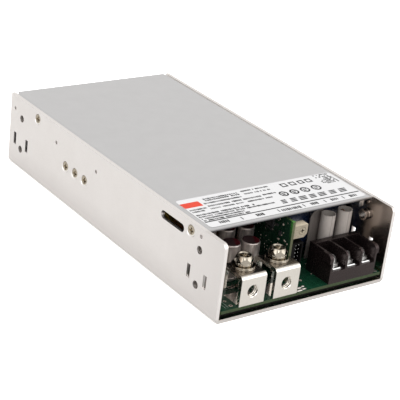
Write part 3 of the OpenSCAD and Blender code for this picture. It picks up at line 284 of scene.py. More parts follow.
cover_low, cover_high = box_mm("cover")
cover_x, cover_y, cover_z = cover_brushed.axes()
# Painted highlight: the rolled right edge is painted paler, for the light it catches.
rolled = cover_brushed.ramp(cover_x, cover_high.x - 1.45, cover_high.x - 0.35, 0.0, 0.9)
cover_brushed.paint(rolled, (0.86, 0.85, 0.85))
# Painted shade on the front edge, darker towards its bottom, and a black painted shadow under it.
shaded_front_edge = cover_brushed.ramp(cover_y, cover_low.y + 1.1, cover_low.y + 0.2, 0.0, 0.75)
edge_shade_downward = cover_brushed.ramp(cover_z, cover_high.z - 0.1, cover_high.z - 0.6, 0.1, 1.0)
cover_brushed.paint(cover_brushed.both(shaded_front_edge, edge_shade_downward), (0.32, 0.32, 0.335))
edge_underside_shadow = cover_brushed.ramp(cover_z, cover_high.z - 0.55, cover_high.z - 0.9)
cover_brushed.paint(cover_brushed.both(shaded_front_edge, edge_underside_shadow), (0.03, 0.03, 0.032))
print("sheared edge at y =", round(cover_low.y, 1), "mm")

# %% [markdown]
# ## Inside of the channel
# The inside is smoother than the outside, and painted darker and browner: painted shade for the dim
# inside of the case. It could be a second material on its faces, but one mask does it without touching the
# mesh. The mask keeps to what lies between the walls, above the floor, before the rear panel, and under
# the rim, and the upper walls near the open mouth get a paler brown, painted light that falls in there.

# %% Inner faces
SHEET = 2.0
case_low, case_high = box_mm("chassis")
wall_in = case_high.x - SHEET
rim_z = case_high.z
case_x, case_y, case_z = case_satin.axes()
side = calc(case_satin.tree, "ABSOLUTE", case_x)
between = case_satin.ramp(side, wall_in + 0.02, wall_in + 0.2, 1.0, 0.0)
above_floor = case_satin.ramp(case_z, SHEET - 0.8, SHEET - 0.1)
before_rear = case_satin.ramp(case_y, case_high.y - 1.9, case_high.y - 1.4, 1.0, 0.0)
under_cover = case_satin.ramp(case_z, rim_z - 2.2, rim_z - 1.6, 1.0, 0.0)
under_rim = case_satin.ramp(case_z, rim_z - 0.15, rim_z - 0.05, 1.0, 0.0)
ahead_of_cover = case_satin.ramp(case_y, cover_low.y + 0.7, cover_low.y)
upper_end = calc(case_satin.tree, "MAXIMUM", under_cover, case_satin.both(ahead_of_cover, under_rim))
inside = case_satin.both(between, above_floor, before_rear, upper_end)
case_satin.rough = case_satin.both(case_satin.rough, spread(case_satin.tree, inside, 0.0, 1.0, 1.0, 0.55))
# Painted shade: the inner faces are painted darker and browner than the outside.
case_satin.paint(inside, (0.72, 0.635, 0.57))
# Painted light: the upper walls near the open mouth are painted paler, where light falls in.
near_mouth = case_satin.ramp(case_y, case_low.y + 10, case_low.y + 1, 0.0, 0.8)
mouth_light = case_satin.both(inside, near_mouth, case_satin.ramp(case_z, 18, 32))
case_satin.paint(mouth_light, (0.95, 0.86, 0.8))
print("inner wall faces at x = +/-", round(wall_in, 2), "mm")

# %% [markdown]
# ## Holes, edges and wear of the channel
# Each tapped hole has a drawn collar whose outer side is painted dark, a painted shade, and the walls of
# slots and holes are dark where light doesn't reach. The rim shows the cut sheet, greyer than the faces.
# The floor's front lip is painted greyer too, a painted shade that dims its bright reflection of the
# floor. The outside is a little worn low down and near the mouth. All are layers of the same finish,
# painted one after the other.

# %% Holes and cut edges
collar_side = case_satin.both(case_satin.ramp(side, wall_in - 2.35, wall_in - 2.2),
                              case_satin.ramp(side, wall_in - 0.2, wall_in - 0.05, 1.0, 0.0))
# Painted shade on the outer side of each drawn collar.
collar_shade = case_satin.both(collar_side, case_satin.ramp(case_z, 5.0, 6.0),
                         case_satin.ramp(case_y, case_high.y - 5, case_high.y - 4, 1.0, 0.0))
case_satin.paint(collar_shade, (0.14, 0.12, 0.108))
low_down = case_satin.ramp(case_z, 14, 4, 0.0, 0.4)
forward = case_satin.ramp(case_y, case_low.y + 45, case_low.y + 4, 0.0, 0.45)
outer_face = case_satin.ramp(side, case_high.x - 0.5, case_high.x - 0.2)
worn = case_satin.both(outer_face, calc(case_satin.tree, "MAXIMUM", forward, low_down))
case_satin.paint(worn, (0.7, 0.67, 0.66))
in_sheet = case_satin.both(case_satin.ramp(side, wall_in + 0.65, wall_in + 1.0, 1.0, 0.0),
                           case_satin.ramp(side, wall_in + 0.05, wall_in + 0.2))
hole_wall = case_satin.both(in_sheet, case_satin.ramp(case_y, case_low.y + 1.4, case_low.y + 2.0),
                            case_satin.ramp(case_z, rim_z - 3.0, rim_z - 2.2, 0.85, 0.0))
case_satin.paint(hole_wall, (0.2, 0.175, 0.165))
rim_face = case_satin.both(case_satin.ramp(case_z, rim_z - 0.15, rim_z - 0.05),
                           case_satin.ramp(case_y, cover_low.y + 0.7, cover_low.y, 0.22, 0.5))
case_satin.paint(rim_face, (0.5, 0.475, 0.46))
# Painted shade: the floor's front lip is painted greyer, which dims its reflection of the floor.
lip_shade = case_satin.both(case_satin.ramp(case_y, case_low.y + 0.2, case_low.y + 0.6, 0.5, 0.0),
                      case_satin.ramp(case_z, SHEET, SHEET + 1.0, 1.0, 0.0))
case_satin.paint(lip_shade, (0.56, 0.53, 0.51))
print("case_satin:", len(case_satin.tree.nodes), "nodes")

# %% [markdown]
# ## Plated metal
# Screws, terminals and bolts are plated, each with its own warmth and polish: yellowish nickel on the
# wall screws, dark warm nickel on the bolts, a paler nickel on the folded terminals, bright zinc on pins
# and contacts, and satin zinc on the clamps of the input block. One metal for all would be simpler, but
# then they would melt into each other. The polish is the roughness range, and the wear colour is the
# brighter metal at the rubbed edges.

# %% Plated finishes
TERMINALS = ("output_terminal_left", "output_terminal_right")
screw_nickel = dress("screw_nickel", ["cover_screws", "device_screws", "fan_screws"], (0.4, 0.35, 0.27),
                     (0.56, 0.5, 0.4), (0.14, 0.26), metallic=1.0, scale=1800.0, wear=(0.7, 0.64, 0.54),
                     radius=0.1)
terminal_nickel = dress("terminal_nickel", TERMINALS, (0.72, 0.69, 0.635), (0.8, 0.768, 0.715), (0.12, 0.2),
                        metallic=1.0, scale=1500.0, stretch=(1, 1, 0.3), bump=1.5e-6,
                        wear=(0.95, 0.93, 0.88), radius=0.15)
bolt_nickel = dress("bolt_nickel", ["terminal_bolts", "spring_washers", "flat_washers"], (0.34, 0.305, 0.25),
                    (0.47, 0.43, 0.365), (0.06, 0.14), metallic=1.0, scale=1300.0, bump=1.5e-6,
                    wear=(0.72, 0.68, 0.6), radius=0.08, strength=2.5)
dress("zinc_bright", ["board_screws", "input_contacts", "header_pins"], (0.5, 0.5, 0.5), (0.62, 0.62, 0.62),
      (0.1, 0.2), metallic=1.0, scale=1500.0, bump=1.5e-6, wear=(0.95, 0.95, 0.95), radius=0.08)
dress("zinc_satin", ["input_clamps", "input_screws"], (0.74, 0.735, 0.72), (0.86, 0.855, 0.84), (0.3, 0.42),
      metallic=1.0, scale=1500.0, bump=1.5e-6, wear=(0.95, 0.95, 0.95), radius=0.08)

# %% [markdown]
# ## Dull tops
# The terminals' top faces are rougher than the sides and painted much darker, a painted shade that
# stands for the dim reflection they show. The bolts' heads are stamped, so their tops are rougher and a
# little darker. A second material on those faces would do it, but it would change the mesh. A ramp that
# starts just under the top picks them out instead, and one helper serves for both.

# %% Painted shade on the terminal tops, stamped bolt tops
def dull_top(finish, node, start, end, rougher, cover, colour):
    top = box_mm(node)[1].z
    mask = finish.ramp(finish.axes()[2], top - start, top - end)
    finish.rough = calc(finish.tree, "ADD", finish.rough, finish.both(mask, rougher))
    finish.paint(finish.both(mask, cover), colour)
    print("dull top of %s at z = %.2f mm" % (node, top))


# Painted shade: the terminals' top faces are painted dark.
dull_top(terminal_nickel, TERMINALS[0], start=0.3, end=0.02, rougher=0.1, cover=0.8,
         colour=(0.18, 0.15, 0.125))
dull_top(bolt_nickel, "terminal_bolts", start=0.9, end=0.1, rougher=0.22, cover=0.6,
         colour=(0.36, 0.32, 0.26))

# %% [markdown]
# ## Heads of the wall screws
# A wall screw has a dark gap around its head, a painted shade in the recess in the middle, and a
# painted highlight at the rim: a bright crescent where the rim catches light from below. They could be
# three thin meshes on each screw. Here they are rings in the colour, measured from the screws' axes, and
# the crescent is a ring whose centre is shifted, so that it shows on one side only.

# %% Screw heads
SCREW_AXES = ((-73.9, 36.2), (70.4, 36.2), (19.8, 21.5), (29.35, 21.5), (38.9, 21.5))
CRESCENT_SHIFT = (0.5, 0.8)


def reach(finish, centres):
    flat = vector(finish.tree, "MULTIPLY", finish.place(), (0, 1, 1))[0]
    nearest = 1.0
    for y, z in centres:
        away = vector(finish.tree, "DISTANCE", flat, (0, y * MM, z * MM))["Value"]
        nearest = calc(finish.tree, "MINIMUM", away, nearest)
    return nearest


head_low, head_high = box_mm("device_screws")
head = (head_high.z - head_low.z) / 2
from_axis = reach(screw_nickel, SCREW_AXES)
crescent_highlight_reach = reach(screw_nickel, [(y + CRESCENT_SHIFT[0], z + CRESCENT_SHIFT[1]) for y, z in SCREW_AXES])
screw_nickel.paint(screw_nickel.ramp(from_axis, head - 0.5, head - 0.1, 0.0, 0.55), (0.07, 0.058, 0.045))
# Painted shade in the recess of each head.
screw_nickel.paint(screw_nickel.ramp(from_axis, 0.4, 1.3, 0.75, 0.0), (0.06, 0.042, 0.028))
# Painted highlight: the bright crescent where the rim catches light.
screw_nickel.paint(screw_nickel.ramp(crescent_highlight_reach, head, head + 0.4, 0.0, 0.9), (0.95, 0.93, 0.9))
print("screw head radius, mm:", round(head, 2))

# %% [markdown]
# ## Moulded pieces
# Moulded black parts are never quite black: the input block is a warm dark brown where light grazes it,
# so its specular tint is warm. The tongue behind the sleeves is grey fibre sheet. A plain black would
# lose every edge, so the edge colour paints a paler line there: a painted highlight where a glossy edge
# catches light.

# %% Moulded finishes
# Painted highlight: the paler edge colour along the block's glossy edges.
block_black = dress("block_black", ["input_block"], (0.005, 0.0035, 0.0035), (0.01, 0.007, 0.007), (0.2, 0.3),
                    scale=1600.0, bump=2e-6, wear=(0.06, 0.047, 0.046), strength=1.2, specular=0.42)
block_black.surface.inputs["Specular Tint"].default_value = (1.0, 0.76, 0.74, 1.0)
dress("header_black", ["header_shroud"], (0.003, 0.003, 0.003), (0.008, 0.007, 0.007), (0.4, 0.55),
      scale=2000.0, wear=(0.015, 0.013, 0.012), radius=0.12, specular=0.08)
dress("moulded_epoxy", ["control_parts", "power_devices", "bridge_rectifier"], (0.012, 0.012, 0.013),
      (0.032, 0.032, 0.033), (0.4, 0.6), scale=2600.0, bump=8e-6, wear=(0.07, 0.07, 0.07), radius=0.15)
dress("fan_black", ["fan_frame", "fan_impeller"], (0.01, 0.01, 0.011), (0.026, 0.026, 0.028), (0.35, 0.5),
      scale=1500.0, wear=(0.06, 0.06, 0.062), dust=0.08)
dress("barrier_fibre", ["barrier_tongue"], (0.165, 0.142, 0.13), (0.23, 0.2, 0.185), (0.6, 0.8), scale=1200.0,
      stretch=(1, 1, 0.2), bump=1e-5, wear=(0.3, 0.28, 0.26), radius=0.2)

# %% [markdown]
# ## The trimmer
# The trimmer is a beige moulding with brown flecks and a turning rotor with a cross slot. Flecks could be
# noise, but a Voronoi texture keeps them round and apart. The slot is already in the solid model, and a
# painted shade darkens it with the depth behind the rotor's front face.

# %% Trimmer finishes
FLECK_BROWN = (0.16, 0.125, 0.085)
trimmer_beige = dress("trimmer_beige", ["trimmer_body"], (0.3, 0.25, 0.18), (0.55, 0.49, 0.38), (0.45, 0.6),
                      scale=1500.0, bump=2e-5, wear=(0.66, 0.61, 0.5), radius=0.2)
rotor_beige = dress("rotor_beige", ["trimmer_rotor"], (0.34, 0.29, 0.21), (0.52, 0.46, 0.35), (0.4, 0.55),
                    scale=1800.0, wear=(0.6, 0.55, 0.45), radius=0.08)
for beige in (trimmer_beige, rotor_beige):
    fleck = wire(beige.tree, "ShaderNodeTexVoronoi", None, {"Vector": beige.place(), "Scale": 1300.0})
    beige.paint(spread(beige.tree, fleck.outputs["Distance"], 0.12, 0.3, 0.75, 0.0), FLECK_BROWN)
rotor_front = box_mm("trimmer_rotor")[0].y
# Painted shade in the slot, darker deeper behind the rotor's front face.
slot_shade = rotor_beige.ramp(rotor_beige.axes()[1], rotor_front + 0.05, rotor_front + 0.3)
rotor_beige.paint(slot_shade, (0.05, 0.038, 0.028))
print("rotor front at y =", round(rotor_front, 2), "mm")

# %% [markdown]
# ## Rolled paper
# The tubes around the fuses are rolled paper with one straight lap down the front. The lap could be a
# ledge in the mesh, but it is thinner than a hair, so a narrow band on each tube is painted darker.

# %% Paper sleeves
SLEEVES = ("sleeve_inner", "sleeve_outer")
LAP_SHIFT = 0.5
sleeve_paper = dress("sleeve_paper", SLEEVES, (0.42, 0.378, 0.35), (0.53, 0.485, 0.452), (0.65, 0.85),
                     scale=1400.0, stretch=(1, 1, 0.4), bump=1e-5, wear=(0.5, 0.46, 0.43), radius=0.15)
paper_x = sleeve_paper.axes()[0]
for name in SLEEVES:
    low, high = box_mm(name)
    lap_x = (low.x + high.x) / 2 - LAP_SHIFT
    from_lap = calc(sleeve_paper.tree, "ABSOLUTE", calc(sleeve_paper.tree, "SUBTRACT", paper_x, lap_x * MM))
    sleeve_paper.paint(sleeve_paper.ramp(from_lap, 0.1, 0.35, 0.4, 0.0), (0.12, 0.1, 0.09))
    print("lap of %s at x = %.2f mm" % (name, lap_x))

# %% [markdown]
# ## Cans, windings and hidden parts
# Behind the terminals stand bare drawn cans. Their fine lines could be modelled, but noise that is
# squeezed along Z gives them too, because a can is drawn in that direction. The large cans lie in a dark
# blue shrink sleeve. Copper windings, ferrite, tape, brass and film sit deeper in the case, and still get
# a finish of their own for anyone who takes the cover off. The insulating film under the board is nearly
# black: a dark sheet that paints the shade in the gap under the board.

# %% Cans and windings
CANS = ["output_capacitor_%d" % i for i in range(1, 6)]
dress("can_drawn", CANS, (0.46, 0.405, 0.38), (0.6, 0.54, 0.51), (0.26, 0.4), metallic=0.65, scale=1800.0,
      stretch=(1, 1, 0.08), bump=3e-6, wear=(0.9, 0.87, 0.85), radius=0.3)
dress("can_navy", ["bulk_capacitor_1", "bulk_capacitor_2"], (0.006, 0.012, 0.035), (0.012, 0.022, 0.06),
      (0.22, 0.36), bump=6e-6, wear=(0.05, 0.07, 0.14), radius=0.4)
dress("copper_wire", ["output_choke", "line_choke", "boost_choke"], (0.32, 0.12, 0.035), (0.56, 0.25, 0.09),
      (0.25, 0.4), metallic=0.8, stretch=(1, 1, 0.15), bump=2e-5, wear=(0.75, 0.4, 0.18), radius=0.3)
dress("ferrite", ["transformer_core"], (0.03, 0.03, 0.033), (0.06, 0.06, 0.065), (0.5, 0.7), scale=1100.0,
      bump=1e-5, wear=(0.12, 0.12, 0.13))
dress("tape_yellow", ["transformer_winding"], (0.55, 0.38, 0.06), (0.7, 0.52, 0.12), (0.3, 0.45), scale=500.0,
      stretch=(0.2, 0.2, 1), bump=8e-6, wear=(0.8, 0.65, 0.25))

# %% Hidden parts
dress("standoff_brass", ["board_standoffs"], (0.55, 0.38, 0.14), (0.72, 0.54, 0.24), (0.2, 0.35),
      metallic=1.0, scale=1500.0, wear=(0.85, 0.7, 0.4))
dress("spreader_milled", ["heat_spreader"], (0.55, 0.55, 0.56), (0.68, 0.68, 0.69), (0.25, 0.4), metallic=1.0,
      scale=2200.0, stretch=(1, 0.1, 1), bump=3e-6, wear=(0.85, 0.85, 0.86))
dress("pad_grey", ["thermal_pad"], (0.2, 0.23, 0.25), (0.27, 0.3, 0.32), (0.7, 0.9), bump=1e-5)
# Painted shade: the near-black film darkens the gap under the board.
dress("film_dark", ["insulating_sheet"], (0.003, 0.003, 0.003), (0.007, 0.0065, 0.006), (0.6, 0.8),
      scale=600.0, specular=0.2)
dress("fuse_lacquer", ["fuse_inner", "fuse_outer"], (0.1, 0.055, 0.03), (0.2, 0.11, 0.06), (0.3, 0.5),
      scale=1200.0)

# %% [markdown]
# ## Circuit boards
# A board is green only on its two faces. Its cut edge shows the yellowish laminate, so the finish needs
# to know which way a surface faces: the dot product of the normal with the board's own axis is near one
# on a face and near zero on an edge. Copper tracks under the green coat could be drawn one by one, but at
# this distance the mortar lines of a Brick texture do, broken up by the blotches.

# %% Board finish
LAMINATE = (0.04, 0.064, 0.024)
TRACKS = {"Scale": 1.0, "Mortar Size": 0.5 * MM, "Mortar Smooth": 0.3, "Brick Width": 8.5 * MM,
          "Row Height": 5.2 * MM}


def board_finish(name, node, axis, turn, dark, light, trace):
    green = dress(name, [node], dark, light, (0.22, 0.36), scale=400.0, bump=2e-6, specular=0.24)
    laid = wire(green.tree, "ShaderNodeMapping", None, {"Vector": green.place(), "Rotation": turn}).outputs[0]
    tracks = wire(green.tree, "ShaderNodeTexBrick", None, {"Vector": laid, **TRACKS}).outputs["Fac"]
    green.paint(green.both(tracks, spread(green.tree, green.blotch, 0.4, 0.6, 0.0, 0.55)), trace)
    normal = wire(green.tree, "ShaderNodeNewGeometry").outputs["Normal"]
    facing = calc(green.tree, "ABSOLUTE", vector(green.tree, "DOT_PRODUCT", normal, axis)["Value"])
    green.paint(spread(green.tree, facing, 0.4, 0.6, 1.0, 0.0), LAMINATE)
    return green


QUARTER = math.radians(90)
board_finish("main_green", "main_board", axis=(0, 0, 1), turn=(0, 0, QUARTER), dark=(0.003, 0.024, 0.012),
             light=(0.005, 0.033, 0.017), trace=(0.009, 0.05, 0.026))
control_green = board_finish("control_green", "control_board", axis=(1, 0, 0), turn=(0, QUARTER, 0),
                             dark=(0.004, 0.016, 0.009), light=(0.006, 0.026, 0.013),
                             trace=(0.008, 0.04, 0.02))

# %% [markdown]
# ## Front edge of the control board
# Light shines through the upright board near its front edge, most of all at the top, and makes a fresh
# green band there. A translucent shader would need many samples for it, so the band is painted. The sawn
# front edge itself is a paler olive.

# %% Control board edge
card_low, card_high = box_mm("control_board")
card_y, card_z = control_green.axes()[1:]
band = control_green.ramp(card_y, card_low.y + 0.3, card_low.y + 2.0, 0.75, 0.0)
near_top = control_green.ramp(card_z, card_high.z - 9, card_high.z - 2, 0.1, 1.0)
control_green.paint(control_green.both(band, near_top), (0.06, 0.22, 0.04))
sawn = control_green.ramp(card_y, card_low.y + 0.02, card_low.y + 0.1, 0.85, 0.0)
control_green.paint(sawn, (0.13, 0.13, 0.075))
print("control board, mm:", [round(v, 1) for v in card_high - card_low])

# %% [markdown]
# ## Geometry Nodes that end in plain meshes
# Print and solder repeat the same small shape many times, which is what Geometry Nodes are for. A tree
# gets named inputs, the modifier's inputs are set by socket identifier before the first evaluation, and
# the result is turned into a plain mesh, so that nothing depends on the modifier afterwards. Each tree
# ends in Realize Instances and Set Material, because an exported file keeps no instances.

# %% Geometry helpers
INT = "NodeSocketInt"
MATERIAL = "NodeSocketMaterial"


def start_tree(name, inputs):
    tree = bpy.data.node_groups.new(name, "GeometryNodeTree")
    tree.interface.new_socket("Geometry", in_out="INPUT", socket_type="NodeSocketGeometry")
    for label, kind in inputs:
        tree.interface.new_socket(label, in_out="INPUT", socket_type=kind)
    tree.interface.new_socket("Geometry", in_out="OUTPUT", socket_type="NodeSocketGeometry")
    return tree, tree.nodes.new("NodeGroupInput").outputs, tree.nodes.new("NodeGroupOutput").inputs


def end_tree(tree, instances, material, out):
    real = wire(tree, "GeometryNodeRealizeInstances", None, {0: instances}).outputs[0]
    dressed = wire(tree, "GeometryNodeSetMaterial", None, {"Geometry": real, "Material": material})
    tree.links.new(dressed.outputs[0], out[0])
    print("%s: %d nodes" % (tree.name, len(tree.nodes)))


def run_tree(name, tree, values, points=()):
    seeds = bpy.data.meshes.new(name)
    seeds.from_pydata([tuple(p) for p in points], [], [])
    piece = bpy.data.objects.new(name, seeds)
    bpy.context.scene.collection.objects.link(piece)
    modifier = piece.modifiers.new("make", "NODES")
    modifier.node_group = tree
    for item in tree.interface.items_tree:
        if item.item_type == "SOCKET" and item.in_out == "INPUT" and item.name in values:
            modifier[item.identifier] = values[item.name]
    made = bpy.data.meshes.new_from_object(piece.evaluated_get(bpy.context.evaluated_depsgraph_get()))
    piece.modifiers.remove(modifier)
    piece.data = made
    return piece


def settle(piece, body="case"):
    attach(piece, body)
    print("%s: %d faces" % (piece.name, len(piece.data.polygons)))


print("geometry helpers: start_tree, end_tree, run_tree, settle")

# %% [markdown]
# ## The label's place
# The label is a thin white film with rounded corners. Its print is generic: rows of plain bars, and a
# ruled strip at the front edge with one field for each terminal. A bar could be a stroke in a texture,
# but a texture follows the film's mapping, and a thin solid keeps its edges sharp. So a bar is an
# instance of one thin cube, stretched by a seeded random length.

# %% Label finishes
dress("label_film", ["blank_label"], (0.45, 0.45, 0.455), (0.47, 0.47, 0.475), (0.35, 0.5), scale=1600.0,
      bump=2e-6, wear=(0.6, 0.6, 0.6), radius=0.1, specular=0.3)
ink_black = Finish("ink_black", (0.006, 0.006, 0.006), (0.02, 0.02, 0.02), (0.5, 0.7), scale=3000.0,
                   specular=0.15)
ink_red = Finish("ink_red", (0.4, 0.028, 0.012), (0.48, 0.045, 0.022), (0.4, 0.55), scale=1800.0,
                 specular=0.2)
label_low, label_high = box_mm("blank_label")
LABEL_TOP = label_high.z
print("label, mm:", [round(v, 1) for v in label_high - label_low])

# %% Rows of bars
BAR_WIDTHS = (0.5, 0.95)
BAR_HEIGHTS = (0.75, 1.0)
BAR_THICK = 0.02


def random_share(tree, limits, seed):
    inputs = {2: limits[0], 3: limits[1], 8: seed}
    return wire(tree, "FunctionNodeRandomValue", {"data_type": "FLOAT"}, inputs).outputs[1]


print_rows, given, out = start_tree("print_rows", [
    ("Pitch", FLOAT), ("Bar", FLOAT), ("Gaps", FLOAT), ("Seed", INT), ("Ink", MATERIAL)])
skip = wire(print_rows, "FunctionNodeRandomValue", {"data_type": "BOOLEAN"}, {
    6: given["Gaps"], 8: given["Seed"]})
kept = wire(print_rows, "GeometryNodeDeleteGeometry", {"domain": "POINT"}, {
    0: given["Geometry"], 1: skip.outputs[3]}).outputs[0]
wide = random_share(print_rows, BAR_WIDTHS, given["Seed"])
tall = random_share(print_rows, BAR_HEIGHTS, given["Seed"])
size = wire(print_rows, "ShaderNodeCombineXYZ", None, {
    "X": times(print_rows, given["Pitch"], wide), "Y": times(print_rows, given["Bar"], tall),
    "Z": BAR_THICK * MM}).outputs[0]
bar = wire(print_rows, "GeometryNodeMeshCube").outputs["Mesh"]
rows = wire(print_rows, "GeometryNodeInstanceOnPoints", None, {
    "Points": kept, "Instance": bar, "Scale": size}).outputs[0]
end_tree(print_rows, rows, given["Ink"], out)

# %% [markdown]
# ## Laying out the bars
# Each block of print is a table of rows, every row with its left end, right end and place along the
# label. Then come the pitch, the height of a bar, the share of gaps and the seed. A table is easier to
# change than many calls.

# %% Printed rows
PRINT = {
    "print_heading": (((-33.8, -12.5, -56.1), (-33.8, -12.5, -57.8)), 1.3, 1.4, 0.06, 4),
    "print_bold": (((-47.2, -13.1, -70.0), (-35.9, -4.1, -63.4)), 1.0, 1.6, 0.08, 7),
    "print_small": (((-10.7, 6.0, -55.5), (-11.6, 5.7, -58.6), (-36.0, -13.2, -60.4), (-2.4, 5.5, -62.8),
                     (-36.5, -16.8, -66.2), (-14.2, 1.0, -66.3), (-47.2, -2.6, -72.0), (-47.2, -21.8, -74.0),
                     (-47.2, -20.3, -75.9), (-47.2, -37.5, -64.4), (-47.2, -40.3, -66.5)), 0.9, 1.4, 0.1, 5),
    "print_strip": (((-41.4, -35.9, -79.8), (-19.9, -14.6, -80.2), (-4.8, 7.7, -80.6), (13.6, 18.0, -80.2),
                     (26.6, 31.0, -80.2), (38.8, 43.2, -80.2)), 1.2, 2.5, 0.04, 2),
    "print_grid": ([(36.6, 46.6, -53.9 - 1.2 * k) for k in range(9)], 1.1, 1.1, 0.35, 12),
}
for name, (lines, pitch, height, gaps, seed) in PRINT.items():
    points = []
    for left, right, y in lines:
        count = round((right - left) / pitch)
        points += [((left + (k + 0.5) * pitch) * MM, y * MM, LABEL_TOP * MM) for k in range(count)]
    settle(run_tree(name, print_rows, {
        "Pitch": pitch * MM, "Bar": height * MM, "Gaps": gaps, "Seed": seed, "Ink": ink_black.material},
        points))

# %% [markdown]
# ## Ruled fields and plain shapes
# Fields, ticks and the coloured block are few and all different, so a tree would be longer than drawing
# them. A helper adds a thin closed plate to a mesh from a list of corners. Round outlines are rings of
# short plates.

# %% Plates
def plate(bm, corners, low, high):
    base = [bm.verts.new((x * MM, y * MM, low * MM)) for x, y in corners]
    top = [bm.verts.new((x * MM, y * MM, high * MM)) for x, y in corners]
    faces = [bm.faces.new(top), bm.faces.new(list(reversed(base)))]
    for i in range(len(corners)):
        j = (i + 1) % len(corners)
        faces.append(bm.faces.new((base[i], base[j], top[j], top[i])))
    return faces


def oblong(x, y, w, h):
    return [(x - w / 2, y - h / 2), (x + w / 2, y - h / 2), (x + w / 2, y + h / 2), (x - w / 2, y + h / 2)]


def round_corners(x, y, w, h, r, steps=5):
    corners = []
    for i, (sx, sy) in enumerate(((1, 1), (-1, 1), (-1, -1), (1, -1))):
        for k in range(steps + 1):
            a = math.radians(90 * i + 90 * k / steps)
            corners.append((x + sx * (w / 2 - r) + r * math.cos(a), y + sy * (h / 2 - r) + r * math.sin(a)))
    return corners


def new_piece(name, bm, *finishes):
    mesh = bpy.data.meshes.new(name)
    bmesh.ops.recalc_face_normals(bm, faces=bm.faces)
    bm.to_mesh(mesh)
    bm.free()
    for finish in finishes:
        mesh.materials.append(finish.material)
    piece = bpy.data.objects.new(name, mesh)
    bpy.context.scene.collection.objects.link(piece)
    return piece


INK_TOP = LABEL_TOP + 0.012
print("ink stands %.3f mm on the film" % (INK_TOP - LABEL_TOP))

# %% Ruled strip and shapes
STRIP_Y = -80.2
BOXES_Y = -57.4
DASHES_Y = -72.9
PEN = 0.8
ruled = bmesh.new()
plate(ruled, oblong(0, -77.3, 95.0, PEN), LABEL_TOP, INK_TOP)
for x in (-28.2, -6.2, 9.5, 22.9, 34.7):
    plate(ruled, oblong(x, STRIP_Y, 0.6, 2.6), LABEL_TOP, INK_TOP)
for x, w in ((15.1, 3.0), (20.6, 3.0), (26.0, 2.8), (31.0, 3.0)):
    for end in (-1, 1):
        plate(ruled, oblong(x + end * w / 2, BOXES_Y, PEN, w + PEN), LABEL_TOP, INK_TOP)
        plate(ruled, oblong(x, BOXES_Y + end * w / 2, w - PEN, PEN), LABEL_TOP, INK_TOP)
for x, w in ((3.0, 3.0), (9.0, 3.6), (15.0, 4.6), (21.1, 3.8), (27.2, 4.6), (34.0, 4.0), (40.5, 4.4)):
    for k in (-1, 0, 1):
        plate(ruled, oblong(x + 0.4 * k, DASHES_Y + 1.4 * k, w, 0.9), LABEL_TOP, INK_TOP)
settle(new_piece("print_ruled", ruled, ink_black))

# %% Rings and the coloured block
RINGS_Y = -65.6
RING_STROKE = 0.9
RING_STEPS = 28
rings = bmesh.new()
for x, r in ((8.6, 2.6), (15.3, 2.6), (22.2, 2.7), (29.4, 2.8)):
    for k in range(RING_STEPS):
        a, b = (math.radians(360 * (k + d) / RING_STEPS) for d in (0, 1))
        polar = ((r - RING_STROKE, a), (r, a), (r, b), (r - RING_STROKE, b))
        corners = [(x + q * math.cos(t), RINGS_Y + q * math.sin(t)) for q, t in polar]
        plate(rings, corners, LABEL_TOP, INK_TOP)
    plate(rings, oblong(x, RINGS_Y + 0.6, 2.4, PEN), LABEL_TOP, INK_TOP)
    plate(rings, oblong(x - 0.3, RINGS_Y - 0.8, 1.8, PEN), LABEL_TOP, INK_TOP)
settle(new_piece("print_rings", rings, ink_black))
block = bmesh.new()
plate(block, round_corners(-42.6, -59.3, 10.6, 5.0, 0.4), LABEL_TOP, INK_TOP)
settle(new_piece("print_block", block, ink_red))

# %% [markdown]
# ## Solder joints
# The control board stands with its solder side to the terminals, so its face is full of small bright
# domes. A bump map would look flat from the side, so the domes are solid. They are scattered on a plane
# by the Poisson method, which keeps them apart, with a fixed seed, and each is a coarse sphere pressed
# flat. The plane is then turned to stand on the board's face.

# %% Dome tree
PRESSED = 0.45
solder_tin = Finish("solder_tin", (0.42, 0.33, 0.28), (0.7, 0.6, 0.53), (0.25, 0.45), metallic=0.5,
                    scale=2500.0, bump=1e-5)
solder_domes, given, out = start_tree("solder_domes", [
    ("Width", FLOAT), ("Height", FLOAT), ("Spacing", FLOAT), ("Density", FLOAT), ("Small", FLOAT),
    ("Large", FLOAT), ("Flat", FLOAT), ("Seed", INT), ("Solder", MATERIAL)])
face = wire(solder_domes, "GeometryNodeMeshGrid", None, {
    "Size X": given["Width"], "Size Y": given["Height"], "Vertices X": 2, "Vertices Y": 2}).outputs["Mesh"]
dots = wire(solder_domes, "GeometryNodeDistributePointsOnFaces", {"distribute_method": "POISSON"}, {
    "Mesh": face, "Distance Min": given["Spacing"], "Density Max": given["Density"], "Seed": given["Seed"]})
radius = random_share(solder_domes, (given["Small"], given["Large"]), given["Seed"])
shape = wire(solder_domes, "ShaderNodeCombineXYZ", None, {
    "X": radius, "Y": radius, "Z": times(solder_domes, radius, given["Flat"])}).outputs[0]
ball = wire(solder_domes, "GeometryNodeMeshIcoSphere", None, {"Radius": 1.0, "Subdivisions": 2})
smooth = wire(solder_domes, "GeometryNodeSetShadeSmooth", None, {
    "Geometry": ball.outputs["Mesh"]}).outputs[0]
domes_on = wire(solder_domes, "GeometryNodeInstanceOnPoints", None, {
    "Points": dots.outputs["Points"], "Instance": smooth, "Scale": shape}).outputs[0]
end_tree(solder_domes, domes_on, given["Solder"], out)

# %% Scattered domes
def domes(name, width, height, spacing, density, small, large, seed, centre, turn):
    piece = run_tree(name, solder_domes, {
        "Width": width * MM, "Height": height * MM, "Spacing": spacing * MM, "Density": density,
        "Small": small * MM, "Large": large * MM, "Flat": PRESSED, "Seed": seed,
        "Solder": solder_tin.material})
    piece.data.transform(Matrix.Translation(Vector(centre) * MM) @ turn)
    settle(piece)


